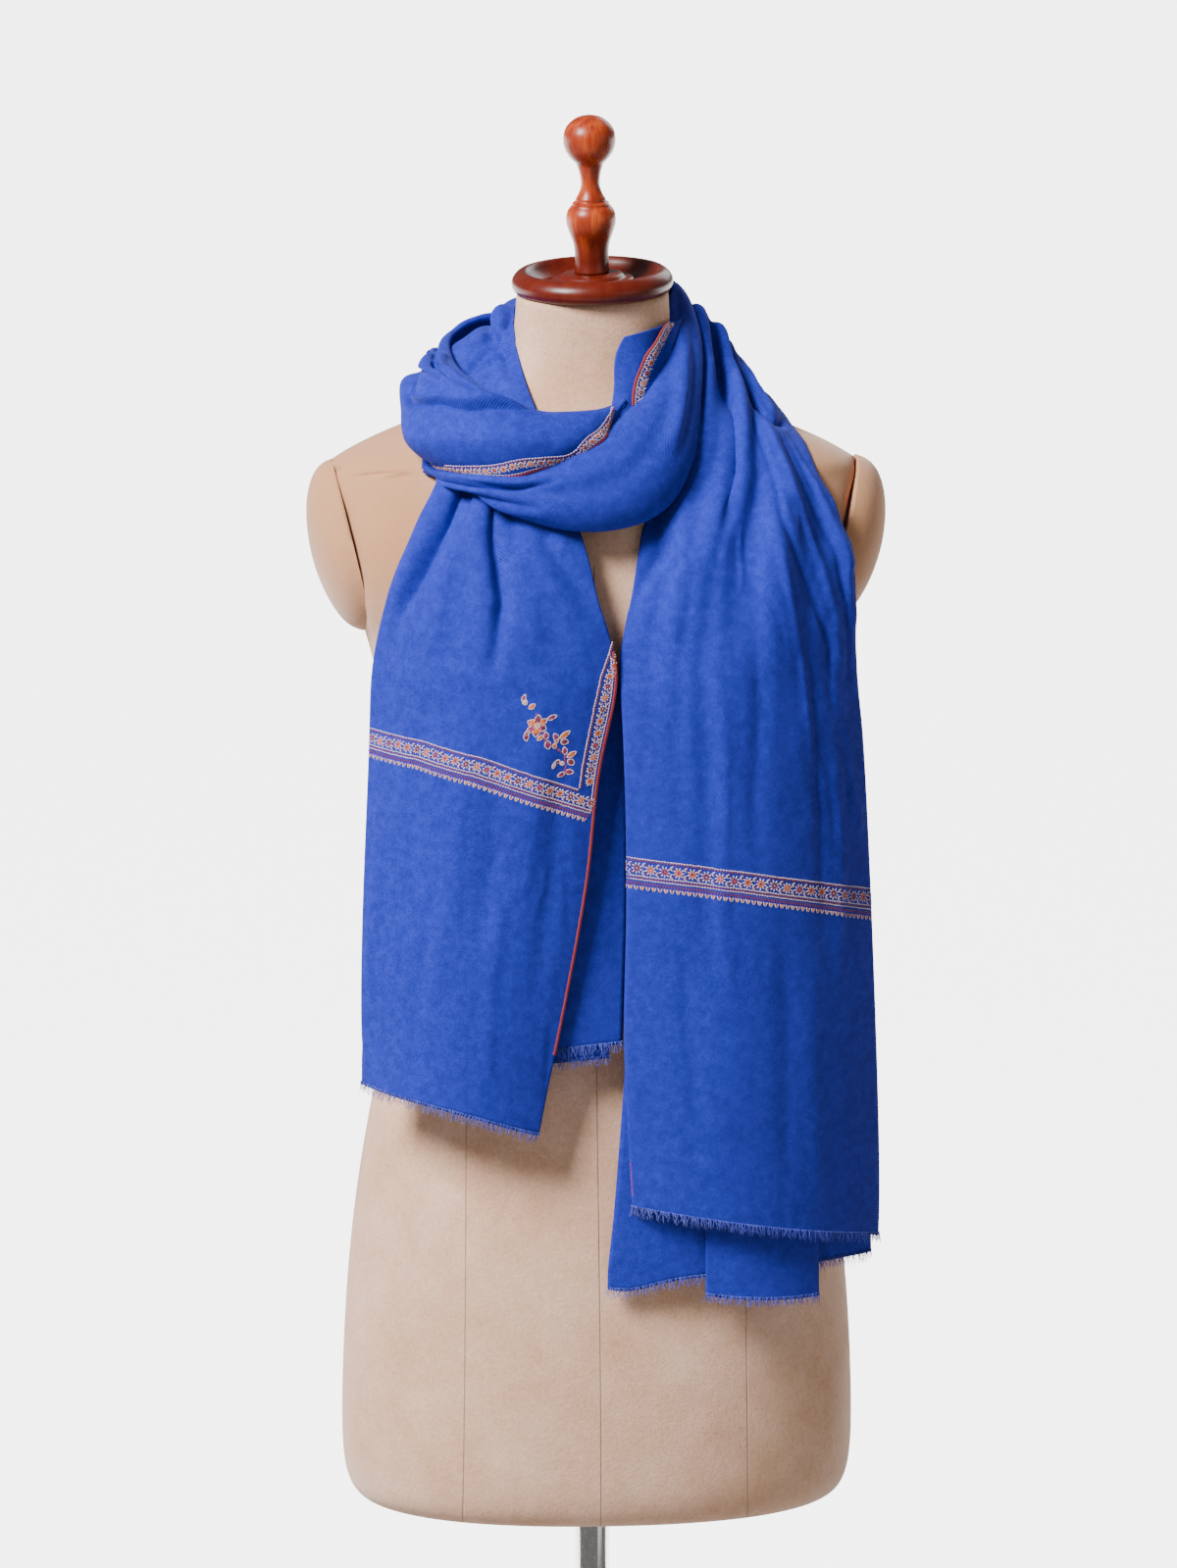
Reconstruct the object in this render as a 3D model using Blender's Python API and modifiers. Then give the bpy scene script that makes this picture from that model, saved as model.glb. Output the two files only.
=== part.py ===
"""A wool shawl wound once round the neck of a limbless dress form on a pole stand.

Metres, +Z up, front towards -Y. The origin is the middle of the base's underside, on the pole's
axis. Tables of the cloth and of the form are in millimetres and are scaled as they are read.
"""

import math

import bmesh
import bpy
import numpy as np
from mathutils import Matrix, Vector
from mathutils.bvhtree import BVHTree

MM = 0.001

# The stand and the form
BASE_RADIUS = 0.165
BASE_HEIGHT = 0.018
HUB_RADIUS = 0.026
HUB_HEIGHT = 0.034
POLE_RADIUS = 0.012
COLLAR_RADIUS = 0.0136
COLLAR_HEIGHT = 0.014
FORM_BOTTOM = 0.693
FORM_SIDES = 32
ARMHOLE_COLUMN = 0.7
SECTION_POWER = 2.3
HIP_SHIFT = 0.003
HIP_SHIFT_TOP = 1.25
NECK_TOP = 1.535
NECK_TILT = math.radians(5.0)
NECK_LEAN = math.radians(1.5)
ARMHOLE_LOW = (0.1564, 1.300)
ARMHOLE_HIGH = (0.1806, 1.420)
ARMHOLE_SWELL = 0.57
CAP_DOME = 0.0285
CAP_COLUMNS = 8
SEAM_GAP = 0.0003

# The shawl: 1.0 m by 2.0 m of twill, folded lengthwise into a band
CLOTH = 0.0012
FRINGE = 0.008
FRINGE_STRIP = 0.0015
ROLL_OPENING = (math.radians(84), math.radians(105))
FOLD_RADIUS = 0.0025
STRETCH_GAP = 0.02
FORM_CLEARANCE = 0.0018
HOLD_SHARE = 0.2
LAY_REACH = 0.03
LAY_GAP = 0.0007
LAY_PASSES = 3

FABRIC = "form_cloth"
SHAWL = "shawl_cloth"
WOOD = "cap_wood"
STEEL = "stand_metal"

FINISHES = {
    # colour, roughness, metallic
    FABRIC: ((0.60, 0.43, 0.33), 0.9, 0.0),
    SHAWL: ((0.03, 0.11, 0.58), 0.85, 0.0),
    WOOD: ((0.30, 0.045, 0.015), 0.2, 0.0),
    STEEL: ((0.72, 0.72, 0.72), 0.15, 1.0),
}

# The form's level sections, in mm: height, half width, front depth, back depth. Between the ends
# of the armholes the half width is the armhole's own, swollen so that its outline is an oval.
FORM_SECTIONS = (
    (693, 149, 98, 78),
    (695, 161, 107, 88),
    (700, 170, 114, 96),
    (711, 176, 119, 104),
    (735, 179, 122, 109),
    (790, 178, 123, 112),
    (860, 174, 119, 112),
    (930, 165, 113, 104),
    (1000, 151, 105, 88),
    (1060, 137, 98, 72),
    (1110, 130, 94, 66),
    (1170, 132, 99, 68),
    (1230, 140, 108, 75),
    (1270, 148, 113, 80),
    (1300, 156.4, 112, 83),
    (1309, 158.2, 110, 84),
    (1318, 160.0, 109, 85),
    (1330, 162.5, 107, 86),
    (1345, 165.5, 104, 87),
    (1360, 168.5, 100, 88),
    (1375, 171.5, 96, 88),
    (1390, 174.5, 91, 87),
    (1402, 177.0, 86, 85),
    (1413, 179.2, 82, 82),
    (1420, 180.6, 79, 80),
    (1428, 168, 75, 77),
    (1438, 147, 70, 73),
    (1448, 121, 65, 68),
    (1458, 96, 59, 63),
    (1468, 77, 54, 59),
    (1480, 64, 50, 55),
    (1497, 56, 47.5, 52),
    (1516, 53, 47, 50),
    (1535, 52, 47, 49.5),
)

# Turned outlines, in mm: radius, height above the piece's own foot, from the top down
NECK_CAP_OUTLINE = (
    (0, 13.0),
    (12.5, 13.0),
    (16, 12.2),
    (20, 10.2),
    (25, 8.6),
    (29, 7.6),
    (31, 6.0),
    (36, 6.2),
    (41, 9.0),
    (45.5, 14.6),
    (47.5, 15.2),
    (51.5, 13.4),
    (54.6, 9.6),
    (55.3, 6.6),
    (54.4, 3.0),
    (52.2, 0.6),
    (50, 0),
    (0, 0),
)
FINIAL_OUTLINE = (
    (0, 108.3),
    (7.4, 107),
    (13.5, 102.9),
    (16.7, 98.5),
    (17.9, 92.2),
    (17.2, 86.5),
    (15, 81.8),
    (11.6, 77.7),
    (9.2, 74.9),
    (7.6, 70),
    (6.4, 63.5),
    (6.7, 58.5),
    (8, 54.4),
    (10.4, 50.3),
    (12.4, 47.8),
    (15.7, 42.9),
    (17.1, 37.1),
    (16, 30.5),
    (13.5, 24),
    (11.9, 17.4),
    (11.5, 10.8),
    (11.5, 0),
    (0, 0),
)

# Cloth bands, in mm. Each row is a station along the band: one edge's x, y, z, the other edge's
# x, y, z, how far the band bulges outwards between them, and how flat it hangs: 0 is a round
# roll and 1 a hanging panel.
NECK_INNER = (
    (-38, -66, 1450, -98, -70, 1432, 4, 1),
    (-50, -38, 1480, -96, -40, 1452, 5, 1),
    (-56.5, -5, 1505, -94, -2, 1474, 6, 1),
    (-55, 26, 1521, -82, 38, 1486, 7, 1),
    (-34, 52, 1528, -50, 66, 1484, 7, 1),
    (0, 61, 1530, 0, 76, 1478, 7, 1),
    (32, 55, 1532, 42, 66, 1482, 7, 1),
    (52, 37, 1536, 62, 44, 1500, 5, 1),
    (56, 19, 1540, 65, 27, 1524, 4, 1),
)
LOOP_LOWER = (
    (56, 18.4, 1540, 65, 26.4, 1524, 4, 1),
    (52, -8, 1513, 73, -6, 1500, 9, 0.3),
    (41, -35, 1486, 68, -46, 1454, 14, 0),
    (24, -61, 1465, 56, -84, 1414, 19, 0),
    (2, -80, 1453, 30, -106, 1391, 21, 0),
    (-21, -92, 1445, -11, -116, 1385, 20, 0),
    (-53, -98, 1438, -51, -114, 1393, 16, 0),
    (-84, -91, 1435, -84, -107, 1407, 11, 0),
    (-107, -70, 1432, -110, -84, 1415, 5, 0),
    (-108, -48, 1431, -112, -54, 1424, 2, 0),
)
# From the front of the loop round the back of the neck and over the shoulder to the long hem
OUTER = (
    (17, -66, 1469, 17, -72, 1464, 2, 0),
    (4, -76, 1462, 3, -88, 1450, 5, 0),
    (-18, -86, 1461, -18, -107, 1438, 9, 0),
    (-45, -87, 1463, -48, -116, 1431, 14, 0),
    (-68, -78, 1472, -76, -111, 1429, 19, 0),
    (-88, -58, 1483, -104, -86, 1425, 26, 0),
    (-99, -28, 1491, -118, -52, 1433, 26, 0.1),
    (-101, 4, 1499, -120, -12, 1448, 22, 0.3),
    (-96, 32, 1501, -116, 30, 1450, 18, 0.6),
    (-79, 56, 1503, -98, 66, 1432, 15, 0.9),
    (-42, 75, 1512, -54, 98, 1386, 12, 1),
    (0, 83, 1520, -4, 108, 1376, 10, 1),
    (38, 76, 1526, 48, 102, 1374, 9, 1),
    (62, 55, 1528, 90, 86, 1390, 7, 1),
    (73, 30, 1522, 117, 48, 1441, 4, 1),
    (78, 8.5, 1510, 134, 10.5, 1447, 0, 1),
    (74, -26, 1474, 144, -42, 1427, 5, 1),
    (62, -68, 1424, 156, -72, 1386, 15, 1),
    (33, -98, 1384, 164, -86, 1350, 23, 1),
    (16, -115, 1334, 170.5, -92, 1312, 26, 1),
    (9, -126, 1296, 175, -93, 1275, 26, 1),
    (10.5, -132, 1262, 179, -93, 1240, 26, 1),
    (13, -134, 1182, 183, -93, 1173, 26, 1),
    (13, -134, 1110, 186.5, -92, 1100, 26, 1),
    (12, -134, 1036, 190.5, -90, 1003, 28, 1),
    (15.5, -134, 960, 192.5, -88, 930, 28, 1),
    (17.5, -134, 924, 192, -88, 893, 28, 1),
)
OUTER_SEAMS = (8, 15)
LONG_END_PLEAT = (
    (68, -126, 1040, 147, -108, 1040, 6, 1),
    (68, -128, 950, 147, -110, 950, 6, 1),
    (68, -131, 871, 147, -114, 866, 7, 1),
)
LONG_END_UNDER = (
    (48, -90, 1376, 150, -80, 1352, 6, 1),
    (24, -108, 1320, 162, -84, 1300, 10, 1),
    (19, -116, 1262, 170, -84, 1240, 14, 1),
    (19, -118, 1180, 175, -84, 1170, 16, 1),
    (19, -120, 1080, 181, -84, 1080, 18, 1),
    (8, -124, 980, 184, -84, 980, 18, 1),
    (4, -127, 871, 186, -82, 880, 16, 1),
)
SHORT_END = (
    (-104, -76, 1424, -24, -94, 1408, 2, 1),
    (-117, -86, 1400, -17, -105, 1388, 10, 1),
    (-136, -90, 1366, -10, -116, 1364, 18, 1),
    (-149, -92, 1330, -3, -124, 1335, 24, 1),
    (-157, -92, 1290, 6, -129, 1302, 28, 1),
    (-159, -92, 1250, 5, -132, 1270, 28, 1),
    (-161, -92, 1200, -5, -133, 1222, 27, 1),
    (-163.5, -92, 1140, -11, -133, 1165, 26, 1),
    (-165, -92, 1080, -22, -133, 1095, 26, 1),
    (-165.4, -92, 1012, -43, -133, 981, 24, 1),
)
SHORT_END_UNDER = (
    (-103, -77, 1403, -34, -92, 1392, 2, 1),
    (-121, -82, 1370, -18, -104, 1364, 6, 1),
    (-144, -86, 1310, -1, -114, 1308, 11, 1),
    (-150, -86, 1262, 9, -117, 1266, 14, 1),
    (-155.8, -87, 1200, 9, -119, 1205, 16, 1),
    (-158.8, -87, 1120, 10, -121, 1130, 16, 1),
    (-160, -86, 1019, 10, -123, 1036, 16, 1),
)
SHORT_END_INNER = (
    (-60, -120, 1180, 3, -119, 1180, 2, 1),
    (-56, -121, 1100, 3, -120, 1100, 2, 1),
    (-52, -122, 1022, 3, -121, 1026, 2, 1),
)
LOOP_LIP = (
    (19, -51, 1503, 47, -22, 1513, 1, 1),
    (17, -56, 1491, 40, -42, 1494, 2, 1),
    (15, -61, 1480, 31, -54, 1480, 2, 1),
    (18, -66, 1471, 24, -63, 1470, 1, 1),
)

# Soft ridges and troughs of a band. Each row: the stations it begins and ends at, its place
# across the band at each end, -1 to 1, its half width as a share of the band's, and its height
# in mm, negative for a trough.
SHORT_END_FOLDS = (
    (-4.0, 4.2, 0.70, -0.62, 0.11, -9),
    (-3.0, 2.8, 0.10, -0.85, 0.14, 6),
    (-4.0, 4.2, 0.55, 0.22, 0.09, -7),
    (-4.0, 4.6, 0.45, -0.10, 0.15, 6),
    (-3.0, 3.8, 0.72, 0.62, 0.14, 5),
)
OUTER_FOLDS = (
    (3.4, 14.0, 0.75, 0.35, 0.10, -7),
    (4.0, 13.0, 0.45, 0.10, 0.09, -6),
    (4.6, 12.5, 0.08, -0.30, 0.09, -5),
    (9.0, 16.5, 0.80, 0.55, 0.09, -6),
    (9.5, 16.0, -0.55, -0.50, 0.10, -5),
    (15.3, 20.0, 0.05, 0.10, 0.10, -9),
    (15.4, 19.5, 0.34, 0.45, 0.12, 5),
    (15.8, 20.2, -0.30, -0.20, 0.13, 7),
    (15.8, 19.2, -0.66, -0.48, 0.09, -6),
    (16.4, 22.0, 0.62, 0.72, 0.06, -3),
    (16.6, 24.0, 0.30, 0.38, 0.06, -3),
)
LOOP_LOWER_FOLDS = (
    (3.8, 9.0, 0.35, 0.10, 0.14, -3.5),
    (4.2, 9.0, -0.10, -0.40, 0.12, -3),
)
NECK_INNER_FOLDS = (
    (0.8, 7.2, 0.30, 0.20, 0.16, -4),
    (1.2, 6.8, -0.40, -0.45, 0.16, -3),
)


def material(name):
    colour, roughness, metallic = FINISHES[name]
    made = bpy.data.materials.get(name) or bpy.data.materials.new(name)
    made.use_nodes = True
    shader = made.node_tree.nodes["Principled BSDF"]
    shader.inputs["Base Color"].default_value = (*colour, 1.0)
    shader.inputs["Roughness"].default_value = roughness
    shader.inputs["Metallic"].default_value = metallic
    return made


def finish(obj, material_name, collection):
    """Smooth shading, the piece's finish, and its place in the object's collection."""
    obj.data.materials.clear()
    obj.data.materials.append(material(material_name))
    obj.data.shade_smooth()
    for holder in obj.users_collection:
        holder.objects.unlink(obj)
    collection.objects.link(obj)
    return obj


def object_from(name, shape):
    mesh = bpy.data.meshes.new(name)
    shape.to_mesh(mesh)
    shape.free()
    obj = bpy.data.objects.new(name, mesh)
    bpy.context.scene.collection.objects.link(obj)
    return obj


def mapped_grid(columns, rows, place):
    """A flat grid whose points are carried to place(across, along), both 0 to 1."""
    shape = bmesh.new()
    bmesh.ops.create_grid(shape, x_segments=columns, y_segments=rows, size=0.5)
    for vert in shape.verts:
        vert.co = place(vert.co.x + 0.5, vert.co.y + 0.5)
    return shape


def curve_through(rows):
    """A natural cubic curve through rows, as a function of the row's number."""
    values = np.array(rows, float)
    last = len(values) - 1
    system = np.eye(last + 1)
    pull = np.zeros_like(values)
    for i in range(1, last):
        system[i, i - 1 : i + 2] = 1, 4, 1
        pull[i] = 6 * (values[i - 1] - 2 * values[i] + values[i + 1])
    bend = np.linalg.solve(system, pull)

    def at(place):
        i = min(max(int(place), 0), last - 1)
        after = place - i
        before = 1 - after
        line = before * values[i] + after * values[i + 1]
        curved = (before**3 - before) * bend[i] + (after**3 - after) * bend[i + 1]
        return line + curved / 6

    return at


# The dress form


def section_at(height_mm):
    """The form's half width, front depth and back depth at a height, in mm."""
    columns = list(zip(*FORM_SECTIONS))
    return [float(np.interp(height_mm, columns[0], columns[i])) for i in (1, 2, 3)]


def armhole_at(height):
    """How far out the flat armhole lies at a height."""
    (low_x, low_z), (high_x, high_z) = ARMHOLE_LOW, ARMHOLE_HIGH
    return low_x + (height - low_z) * (high_x - low_x) / (high_z - low_z)


def armhole_share(height):
    """The armhole's half depth at a height as a share of the form's own depth there."""
    low, high = ARMHOLE_LOW[1], ARMHOLE_HIGH[1]
    off_middle = (2 * height - low - high) / (high - low)
    return ARMHOLE_SWELL * math.sqrt(max(0.0, 1 - off_middle**2))


def form_point(turn, height_mm):
    """A point of the form's skin, turn 0 to 1 from the front round by +X."""
    half_width, front, back = section_at(height_mm)
    quarter = turn * 4
    angle = quarter * math.pi / 2
    height = height_mm * MM
    power = SECTION_POWER
    share = armhole_share(height)
    limit = None
    if share > 0:
        limit = armhole_at(height) / MM
        half_width = limit / (1 - share**power) ** (1 / power)
        # a column of points follows the armhole's outline
        rim = math.asin((limit / half_width) ** (power / 2))
        place = 1 - abs((quarter % 2) - 1)
        within = math.floor(quarter % 4)
        if place <= ARMHOLE_COLUMN:
            sloped = rim * place / ARMHOLE_COLUMN
        else:
            sloped = rim + (math.pi / 2 - rim) * (place - ARMHOLE_COLUMN) / (1 - ARMHOLE_COLUMN)
        angle = (sloped, math.pi - sloped, math.pi + sloped, 2 * math.pi - sloped)[within]
    across, along = math.sin(angle), math.cos(angle)
    x = half_width * math.copysign(abs(across) ** (2 / power), across)
    depth = front if along > 0 else back
    y = -depth * math.copysign(abs(along) ** (2 / power), along)
    if limit is not None:
        x = min(max(x, -limit), limit)
    return x * MM, y * MM


def build_form():
    """The padded torso: level sections, with a flat armhole cut on each side."""
    heights = [row[0] for row in FORM_SECTIONS]
    last = len(heights) - 1

    def place(turn, level):
        height_mm = heights[round(level * last)]
        x, y = form_point(turn, height_mm)
        x += HIP_SHIFT * min(max((HIP_SHIFT_TOP - height_mm * MM) / 0.4, 0.0), 1.0)
        tilted = max(0.0, (height_mm - 1468) / (1535 - 1468))
        z = height_mm * MM + tilted * (y * math.tan(NECK_TILT) + x * math.tan(NECK_LEAN))
        return Vector((x, y, z))

    shape = mapped_grid(FORM_SIDES, last, place)
    bmesh.ops.remove_doubles(shape, verts=shape.verts, dist=1e-6)
    bmesh.ops.holes_fill(shape, edges=[e for e in shape.edges if e.is_boundary])
    bmesh.ops.recalc_face_normals(shape, faces=shape.faces)
    return object_from("dress_form", shape)


def build_shoulder_cap(name, side):
    """A padded oval dome over one armhole, flat where it is sewn to the form."""
    (low_x, low_z), (high_x, high_z) = ARMHOLE_LOW, ARMHOLE_HIGH
    slope = math.atan2(high_x - low_x, high_z - low_z)
    heights = [row[0] for row in FORM_SECTIONS if low_z <= row[0] * MM <= high_z]
    last = len(heights) - 1

    def dome_place(dome):
        def place(across, level):
            height_mm = heights[round(level * last)]
            _, front, back = section_at(height_mm)
            share = armhole_share(height_mm * MM)
            turn = math.pi * (across - 0.5)
            reach = share * math.sin(turn)
            y = reach * (front if reach < 0 else back) * MM
            out = SEAM_GAP + dome * share / ARMHOLE_SWELL * math.cos(turn)
            x = armhole_at(height_mm * MM) + out * math.cos(slope)
            return Vector((side * x, y, height_mm * MM - out * math.sin(slope)))

        return place

    shape = mapped_grid(CAP_COLUMNS, last, dome_place(CAP_DOME))
    flat = mapped_grid(CAP_COLUMNS, last, dome_place(0.0))
    mesh = bpy.data.meshes.new("flat")
    flat.to_mesh(mesh)
    flat.free()
    shape.from_mesh(mesh)
    bpy.data.meshes.remove(mesh)
    bmesh.ops.remove_doubles(shape, verts=shape.verts, dist=1e-6)
    bmesh.ops.recalc_face_normals(shape, faces=shape.faces)
    return object_from(name, shape)


# Turned pieces


def turned(name, outline, steps):
    """A solid of revolution about its own Z axis, from an outline that runs from the top down."""
    mesh = bpy.data.meshes.new(name)
    points = [(radius * MM, 0, height * MM) for radius, height in outline]
    mesh.from_pydata(points, [(i, i + 1) for i in range(len(points) - 1)], [])
    obj = bpy.data.objects.new(name, mesh)
    bpy.context.scene.collection.objects.link(obj)
    screw = obj.modifiers.new("Turn", "SCREW")
    screw.steps = screw.render_steps = steps
    screw.use_merge_vertices = True
    screw.merge_threshold = 0.00001
    return obj


def build_stand(collection):
    base = turned(
        "base",
        (
            (0, HUB_HEIGHT / MM),
            (HUB_RADIUS / MM - 4, HUB_HEIGHT / MM),
            (HUB_RADIUS / MM, HUB_HEIGHT / MM - 4),
            (HUB_RADIUS / MM + 1, BASE_HEIGHT / MM + 2),
            (HUB_RADIUS / MM + 6, BASE_HEIGHT / MM - 1),
            (BASE_RADIUS / MM - 20, 9),
            (BASE_RADIUS / MM - 3, 5),
            (BASE_RADIUS / MM, 2),
            (BASE_RADIUS / MM, 0),
            (0, 0),
        ),
        40,
    )
    finish(base, STEEL, collection)

    pole_foot = HUB_HEIGHT + SEAM_GAP
    pole_top = FORM_BOTTOM - SEAM_GAP
    bpy.ops.mesh.primitive_cylinder_add(
        vertices=32,
        radius=POLE_RADIUS,
        depth=pole_top - pole_foot,
        location=(0, 0, (pole_top + pole_foot) / 2),
    )
    pole = bpy.context.active_object
    pole.name = "pole"
    finish(pole, STEEL, collection)
    pole.data.set_sharp_from_angle(angle=math.radians(40))

    ring_low = (FORM_BOTTOM - SEAM_GAP - COLLAR_HEIGHT) / MM
    ring_high = (FORM_BOTTOM - SEAM_GAP) / MM
    bore = (POLE_RADIUS + SEAM_GAP) / MM
    rim = COLLAR_RADIUS / MM
    collar = turned(
        "collar",
        (
            (bore, ring_high),
            (rim, ring_high),
            (rim, ring_low + 0.6),
            (rim - 0.6, ring_low),
            (bore, ring_low),
            (bore, ring_high),
        ),
        24,
    )
    finish(collar, STEEL, collection)


def build_cap_and_finial(collection):
    """The turned wooden cap on the neck and the knob on it, tilted as the neck's top is."""
    tilt = Matrix.Rotation(NECK_TILT, 4, "X") @ Matrix.Rotation(-NECK_LEAN, 4, "Y")
    foot = Matrix.Translation((0, 0, NECK_TOP)) @ tilt
    cap = turned("neck_cap", NECK_CAP_OUTLINE, 28)
    cap.matrix_world = foot @ Matrix.Translation((0, 0, SEAM_GAP * 1.2))
    finish(cap, WOOD, collection)
    boss = NECK_CAP_OUTLINE[0][1] * MM + SEAM_GAP * 2.2
    finial = turned("finial", FINIAL_OUTLINE, 18)
    finial.matrix_world = foot @ Matrix.Translation((0, 0, boss))
    finish(finial, WOOD, collection)


# Cloth


def fold_height(folds, along, across):
    """The sum of a band's ridges and troughs at a station and place across, in metres."""
    total = 0.0
    for begin, end, from_side, to_side, half_width, height in folds:
        share = (along - begin) / (end - begin)
        if not 0 < share < 1:
            continue
        middle = from_side + (to_side - from_side) * share
        fade = math.sin(math.pi * share) ** 0.5
        spread = half_width * (1 + 0.8 * share)
        total += height * fade * math.exp(-(((across - middle) / spread) ** 2))
    return total * MM


def panel_section(across, half_height, bulge, curl):
    """A hanging panel's section: a crowned face, its edge turned under by a half circle."""
    edge_share = 0.14 if curl > 0 else 0.0
    face = 1 - edge_share
    side = math.copysign(1, across)
    reach = half_height - curl
    if abs(across) <= face:
        place = across / face
        return place * reach, bulge * (1 - place**2)
    slope = math.atan2(2 * bulge, reach)
    turn = math.pi * (abs(across) - face) / edge_share
    out = curl * (math.sin(slope + turn) - math.sin(slope))
    down = curl * (math.cos(slope) - math.cos(slope + turn))
    return side * (reach + out), -down


def band_surface(stations, folds=(), curls=(0.0, 0.0), begin=0.0, end=None):
    """A band's middle surface between two stations: a function of across and along, 0 to 1,
    that gives a point and the direction outwards there. The curls are the radii that the
    second edge and the first turn under by."""
    at = curve_through(stations)
    if end is None:
        end = len(stations) - 1.0
    step = 0.02

    def place(across, along):
        along = begin + (end - begin) * along
        row = at(along)
        first, second, bulge, flat = row[:3] * MM, row[3:6] * MM, row[6] * MM, row[7]
        after = at(min(along + step, len(stations) - 1.0))
        before = at(max(along - step, 0.0))
        ahead = after[:3] + after[3:6] - before[:3] - before[3:6]
        half = (first - second) / 2
        half_height = np.linalg.norm(half)
        rise = half / half_height
        outward = np.cross(half, ahead)
        outward /= np.linalg.norm(outward)
        across = across * 2 - 1
        tip = across * ROLL_OPENING[1 if across > 0 else 0]
        curl = curls[1 if across > 0 else 0]
        up, out = panel_section(across, half_height, bulge, curl)
        up = up * flat + half_height * math.sin(tip) * (1 - flat)
        out = out * flat + bulge * math.cos(tip) * (1 - flat)
        tip *= 1 - flat
        lift = outward * math.cos(tip) + rise * math.sin(tip)
        point = (first + second) / 2 + rise * up + outward * out
        return point + lift * fold_height(folds, along, across), outward

    return place


def height_over(skins, point, outward):
    """How far outwards of a point it must go to clear the outermost skin beneath it, or 0."""
    above = Vector(point + outward * LAY_REACH)
    highest = 0.0
    for skin, clearance in skins:
        hit = skin.ray_cast(above, Vector(-outward), 2 * LAY_REACH)
        if hit[0] is not None:
            highest = max(highest, LAY_REACH - hit[3] + clearance)
    return highest


def out_of(solid, point):
    """The step that takes a point out of a closed solid and clear of it, or none."""
    skin, clearance = solid
    nearest, normal, _, distance = skin.find_nearest(Vector(point))
    inside = (Vector(point) - nearest).dot(normal) < 0
    if not inside and distance >= clearance:
        return np.zeros(3)
    if inside:
        return np.array(nearest + normal * clearance) - point
    return np.array((Vector(point) - nearest).normalized() * (clearance - distance))


def corners_of(grid):
    return grid[:-1, :-1], grid[:-1, 1:], grid[1:, :-1], grid[1:, 1:]


def laid_points(place, columns, rows, solid, skins, whole, hold):
    """A grid of points of a cloth, moved out of the form and off the skins below it. Where a
    stretch goes on in another, hold keeps its first or last row on the band's own surface."""
    ramp = np.ones(rows + 1)
    ease = np.clip(np.arange(rows + 1) / (HOLD_SHARE * rows), 0, 1)
    if hold[0]:
        ramp *= ease
    if hold[1]:
        ramp *= ease[::-1]
    grid = [[place(i / columns, j / rows) for i in range(columns + 1)] for j in range(rows + 1)]
    points = np.array([[spot[0] for spot in row] for row in grid])
    outward = np.array([[spot[1] for spot in row] for row in grid])
    for step in range(LAY_PASSES):
        for _ in range(2):
            moves = np.array([[out_of(solid, point) for point in row] for row in points])
            points = points + moves
            middles = sum(corners_of(points)) / 4
            moves = np.array([[out_of(solid, point) for point in row] for row in middles])
            for part in corners_of(points):
                part += moves * 0.6
        push = np.array(
            [
                [height_over(skins, point, out) for point, out in zip(*both)]
                for both in zip(points, outward)
            ]
        )
        middles = sum(corners_of(points)) / 4
        leans = sum(corners_of(outward)) / 4
        between = np.array(
            [
                [height_over(skins, point, out) for point, out in zip(*both)]
                for both in zip(middles, leans)
            ]
        )
        for part in corners_of(push):
            np.maximum(part, between, out=part)
        if whole:
            push[:] = push.max(axis=1)[:, None]
        if step == 0:
            for _ in range(LAY_PASSES):
                spread = np.pad(push, 1, mode="edge")
                around = spread[:-2, 1:-1] + spread[2:, 1:-1]
                around += spread[1:-1, :-2] + spread[1:-1, 2:]
                push = np.maximum(push, around / 4)
        points = points + outward * (push * ramp[:, None])[:, :, None]
    return points


def cloth(name, points, collection):
    """A wall of cloth through a grid of points, and its own skin for what lies on it."""
    rows, columns = points.shape[0] - 1, points.shape[1] - 1

    def carried(across, along):
        return Vector(points[round(along * rows), round(across * columns)])

    shape = mapped_grid(columns, rows, carried)
    skin = (BVHTree.FromBMesh(shape), CLOTH + LAY_GAP)
    obj = object_from(name, shape)
    wall = obj.modifiers.new("Wall", "SOLIDIFY")
    wall.thickness = CLOTH
    wall.offset = 0.0
    finish(obj, SHAWL, collection)
    return skin


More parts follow.
